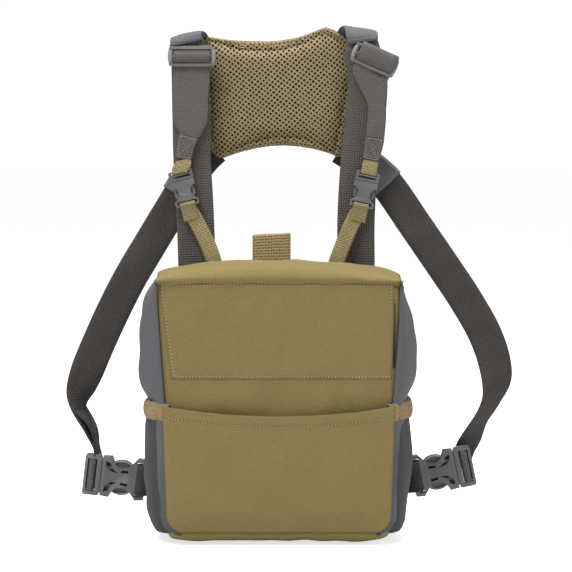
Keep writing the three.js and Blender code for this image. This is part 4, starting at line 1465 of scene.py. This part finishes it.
def inside_outline(points, loop):
    """Which (x, z) points lie inside a closed outline."""
    x, z = points[:, 0], points[:, 1]
    inside = np.zeros(len(points), bool)
    for (x0, z0), (x1, z1) in zip(loop, np.roll(loop, -1, axis=0)):
        crosses = (z0 > z) != (z1 > z)
        with np.errstate(divide="ignore", invalid="ignore"):
            inside ^= crosses & (x < x0 + (z - z0) * (x1 - x0) / (z1 - z0))
    return inside


def mesh_cell():
    """The lattice's two steps, then one cell's edge and its hole as offsets in x and z."""
    first, second = np.array([2.55, -1.75]) * MM, np.array([2.05, 2.4]) * MM
    turn = np.linspace(0, 2 * math.pi, 8, endpoint=False) + math.atan2(*(first + second)[::-1])
    edge = np.array([(first + second) / 2, second / 2, (second - first) / 2, -first / 2])
    edge = np.concatenate([edge, -edge])
    hole = np.stack([np.cos(turn), np.sin(turn)], -1) * 1.0 * MM
    return first, second, edge, hole


def lattice(loop, skin):
    """Spacer mesh: a sheet of yarn pierced by staggered holes, laid on the pad."""
    first, second, edge, hole = mesh_cell()
    middle = loop.mean(0)
    cells = [first * i + second * j for i in range(-45, 46) for j in range(-45, 46)]
    cells = np.array(cells) + middle[[0, 2]]
    flat = loop[:, [0, 2]]
    shrunk = middle[[0, 2]] + (flat - middle[[0, 2]]) * 0.955
    cells = cells[inside_outline(cells, shrunk)]
    rng = np.random.default_rng(7)
    points, faces = [], []
    for cell in cells:
        wobble = rng.uniform(0.88, 1.12)
        base = len(points)
        lip, wall_top = hole * 1.2 * wobble, hole * wobble
        rings = ((edge, 0.0), (lip, 0.35), (wall_top, 0.0), (wall_top, -1.6))
        for ring, depth in rings:
            points += [(x, depth * MM, z) for x, z in ring + cell]
        faces += [tuple(base + i for i in face) for face in tube_faces(len(rings), len(edge))]
    points = np.array(points)
    start = points.copy()
    start[:, 1] = middle[1]
    rest = skin.meet(start, (0, 1, 0), 1.0 * MM)
    points[:, 1] = rest[:, 1] - points[:, 1]
    piece = add_mesh("pad_lattice", points, faces, MESH_YARN)
    bm = bmesh.new()
    bm.from_mesh(piece.data)
    bmesh.ops.remove_doubles(bm, verts=bm.verts, dist=0.15 * MM)
    bm.to_mesh(piece.data)
    bm.free()
    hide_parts("pad_mesh")
    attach(piece, "pack")


def rolled_rim(loop, skin):
    """The pad's edge, where the compressed mesh rolls over to the back."""
    middle = loop.mean(0)
    around = spaced(loop, 2.0 * MM, closed=True)[:-1]
    outward = unit((around - middle) * np.array([1, 0, 1]))
    rest = skin.meet(around - outward * 4 * MM, (0, 1, 0), 0)
    front = rest[:, 1].min()
    ring, size = [], 14
    for k in range(size):
        turn = 2 * math.pi * k / size
        radius = 3.4 * MM + 0.25 * MM * ripple(around[:, 0], around[:, 2], 141 + k // 5)
        swing = outward * math.cos(turn) + np.array([0, 1, 0]) * math.sin(turn) * 1.15
        centre = around - outward * 3.2 * MM + np.array([0, front + 4.2 * MM - middle[1], 0])
        ring.append(centre + swing * radius[:, None])
    grid = np.stack(ring, 1)
    count = len(around)
    points = grid.reshape(-1, 3)
    faces = tube_faces(count, size, closed=True)
    length = np.arange(count) * 2.0 * MM
    uv = np.stack([np.repeat(length, size), np.tile(np.arange(size) * 1.6 * MM, count)], -1)
    piece = add_closed("pad_rim", points, faces, SPACER, uv)
    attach(piece, "pack")


def back_pad():
    """The mesh pad between the shoulders. Its upper corners are drawn out and up."""
    loop = border("pad_mesh", (0, -1, 0), 3 * MM)
    high = np.clip((loop[:, 2] - 335 * MM) / (40 * MM), 0, 1)
    right = high * np.clip((loop[:, 0] - 15 * MM) / (30 * MM), 0, 1)
    left = high * np.clip((-30 * MM - loop[:, 0]) / (30 * MM), 0, 1)
    loop[:, 0] += (5.5 * right - 2.5 * left) * MM
    loop[:, 2] += (4.0 * high + 4.0 * right) * MM
    # the pad's body is painted dark as the shade seen through the lattice's holes
    body = slab("pad_body", loop, 1, 66.9 * MM, 75.0 * MM, MESH_HOLE_SHADE, inset=1.5 * MM)
    puff(body, 4 * MM, voxel=4 * MM)
    settle(body, "pack", "tan_mesh")
    skin = Surface(body)
    lattice(loop, skin)
    rolled_rim(loop, skin)
    cover = slab("pad_back", loop, 1, 73.0 * MM, 76.6 * MM, KNIT, inset=1.0 * MM, edge=1.2 * MM)
    puff(cover, 2.5 * MM, voxel=3 * MM)
    settle(cover, "pack", "grey_fabric", "pad_cover")


# ---- Setting --------------------------------------------------------------------------------


def area_light(name, place, aim, size, power):
    light = bpy.data.lights.new(name, "AREA")
    light.shape = "RECTANGLE"
    light.size, light.size_y = size
    light.energy = power
    lamp = bpy.data.objects.new(name, light)
    lamp.location = place
    lamp.rotation_euler = (Vector(aim) - Vector(place)).to_track_quat("-Z", "Y").to_euler()
    bpy.context.scene.collection.objects.link(lamp)


def paper():
    """White paper that stays white to the camera, keeping only the pack's contact shadow."""
    s = Shader("paper")
    tone = s.remap(s.noise(s.node("TexCoord").outputs["Object"], 9.0), 0, 1, 0.97, 1.0)
    s.color(s.mix(1.0, (0.85, 0.85, 0.85, 1.0), tone, "MULTIPLY"))
    s.set(Roughness=0.95)
    s.bsdf.inputs["Emission Color"].default_value = (1, 1, 1, 1)
    seen = s.node("LightPath").outputs["Is Camera Ray"]
    s.feed(s.bsdf.inputs["Emission Strength"], s.math("MULTIPLY", seen, 0.7))
    return s.material


def studio():
    """Soft grey light all round, white where the camera looks past the floor."""
    world = bpy.data.worlds.new("studio")
    world.use_nodes = True
    tree = world.node_tree
    path = tree.nodes.new("ShaderNodeLightPath")
    level = tree.nodes.new("ShaderNodeMapRange")
    level.inputs["To Min"].default_value = 0.34
    level.inputs["To Max"].default_value = 1.1
    tree.links.new(path.outputs["Is Camera Ray"], level.inputs["Value"])
    background = tree.nodes["Background"]
    background.inputs["Color"].default_value = (1, 1, 1, 1)
    tree.links.new(level.outputs["Result"], background.inputs["Strength"])
    bpy.context.scene.world = world


def setting():
    """A pale floor, and soft light from above and both sides."""
    level, reach_out = -6.5 * MM, 12.0
    corners = [(x, y, level) for y in (-reach_out, reach_out) for x in (-reach_out, reach_out)]
    add_mesh("floor", corners, [(0, 1, 3, 2)], paper())
    area_light("key", (-0.5, -0.8, 1.5), (0, 0, 0.2), (0.8, 0.6), 21)
    area_light("top", (0.1, 0.15, 1.7), (0, 0, 0.2), (0.9, 0.5), 26)
    area_light("fill", (1.5, -1.2, 0.7), (0, 0, 0.2), (1.2, 1.2), 5)
    studio()


def camera():
    """A long lens, level with the pack and a little above it."""
    target = Vector((5.5 * MM, 0, 191.4 * MM))
    distance, tilt = 2.0, math.radians(4)
    lens = bpy.data.cameras.new("camera")
    lens.lens = 160.6
    lens.sensor_width = 36
    view = bpy.data.objects.new("camera", lens)
    view.location = target + distance * Vector((0, -math.cos(tilt), math.sin(tilt)))
    view.rotation_euler = (target - view.location).to_track_quat("-Z", "Y").to_euler()
    bpy.context.scene.collection.objects.link(view)
    bpy.context.scene.camera = view


def foams():
    """The hidden foam keeps its CAD shape."""
    for node in ("front_foam", "back_foam", "base_foam", "pad_foam"):
        finish_node(node, FOAM, bevel=0.8 * MM)


pouch()
lid()
harness()
back_pad()
foams()
setting()
camera()
bpy.context.scene.view_settings.view_transform = "Standard"
bpy.context.scene.cycles.use_denoising = True
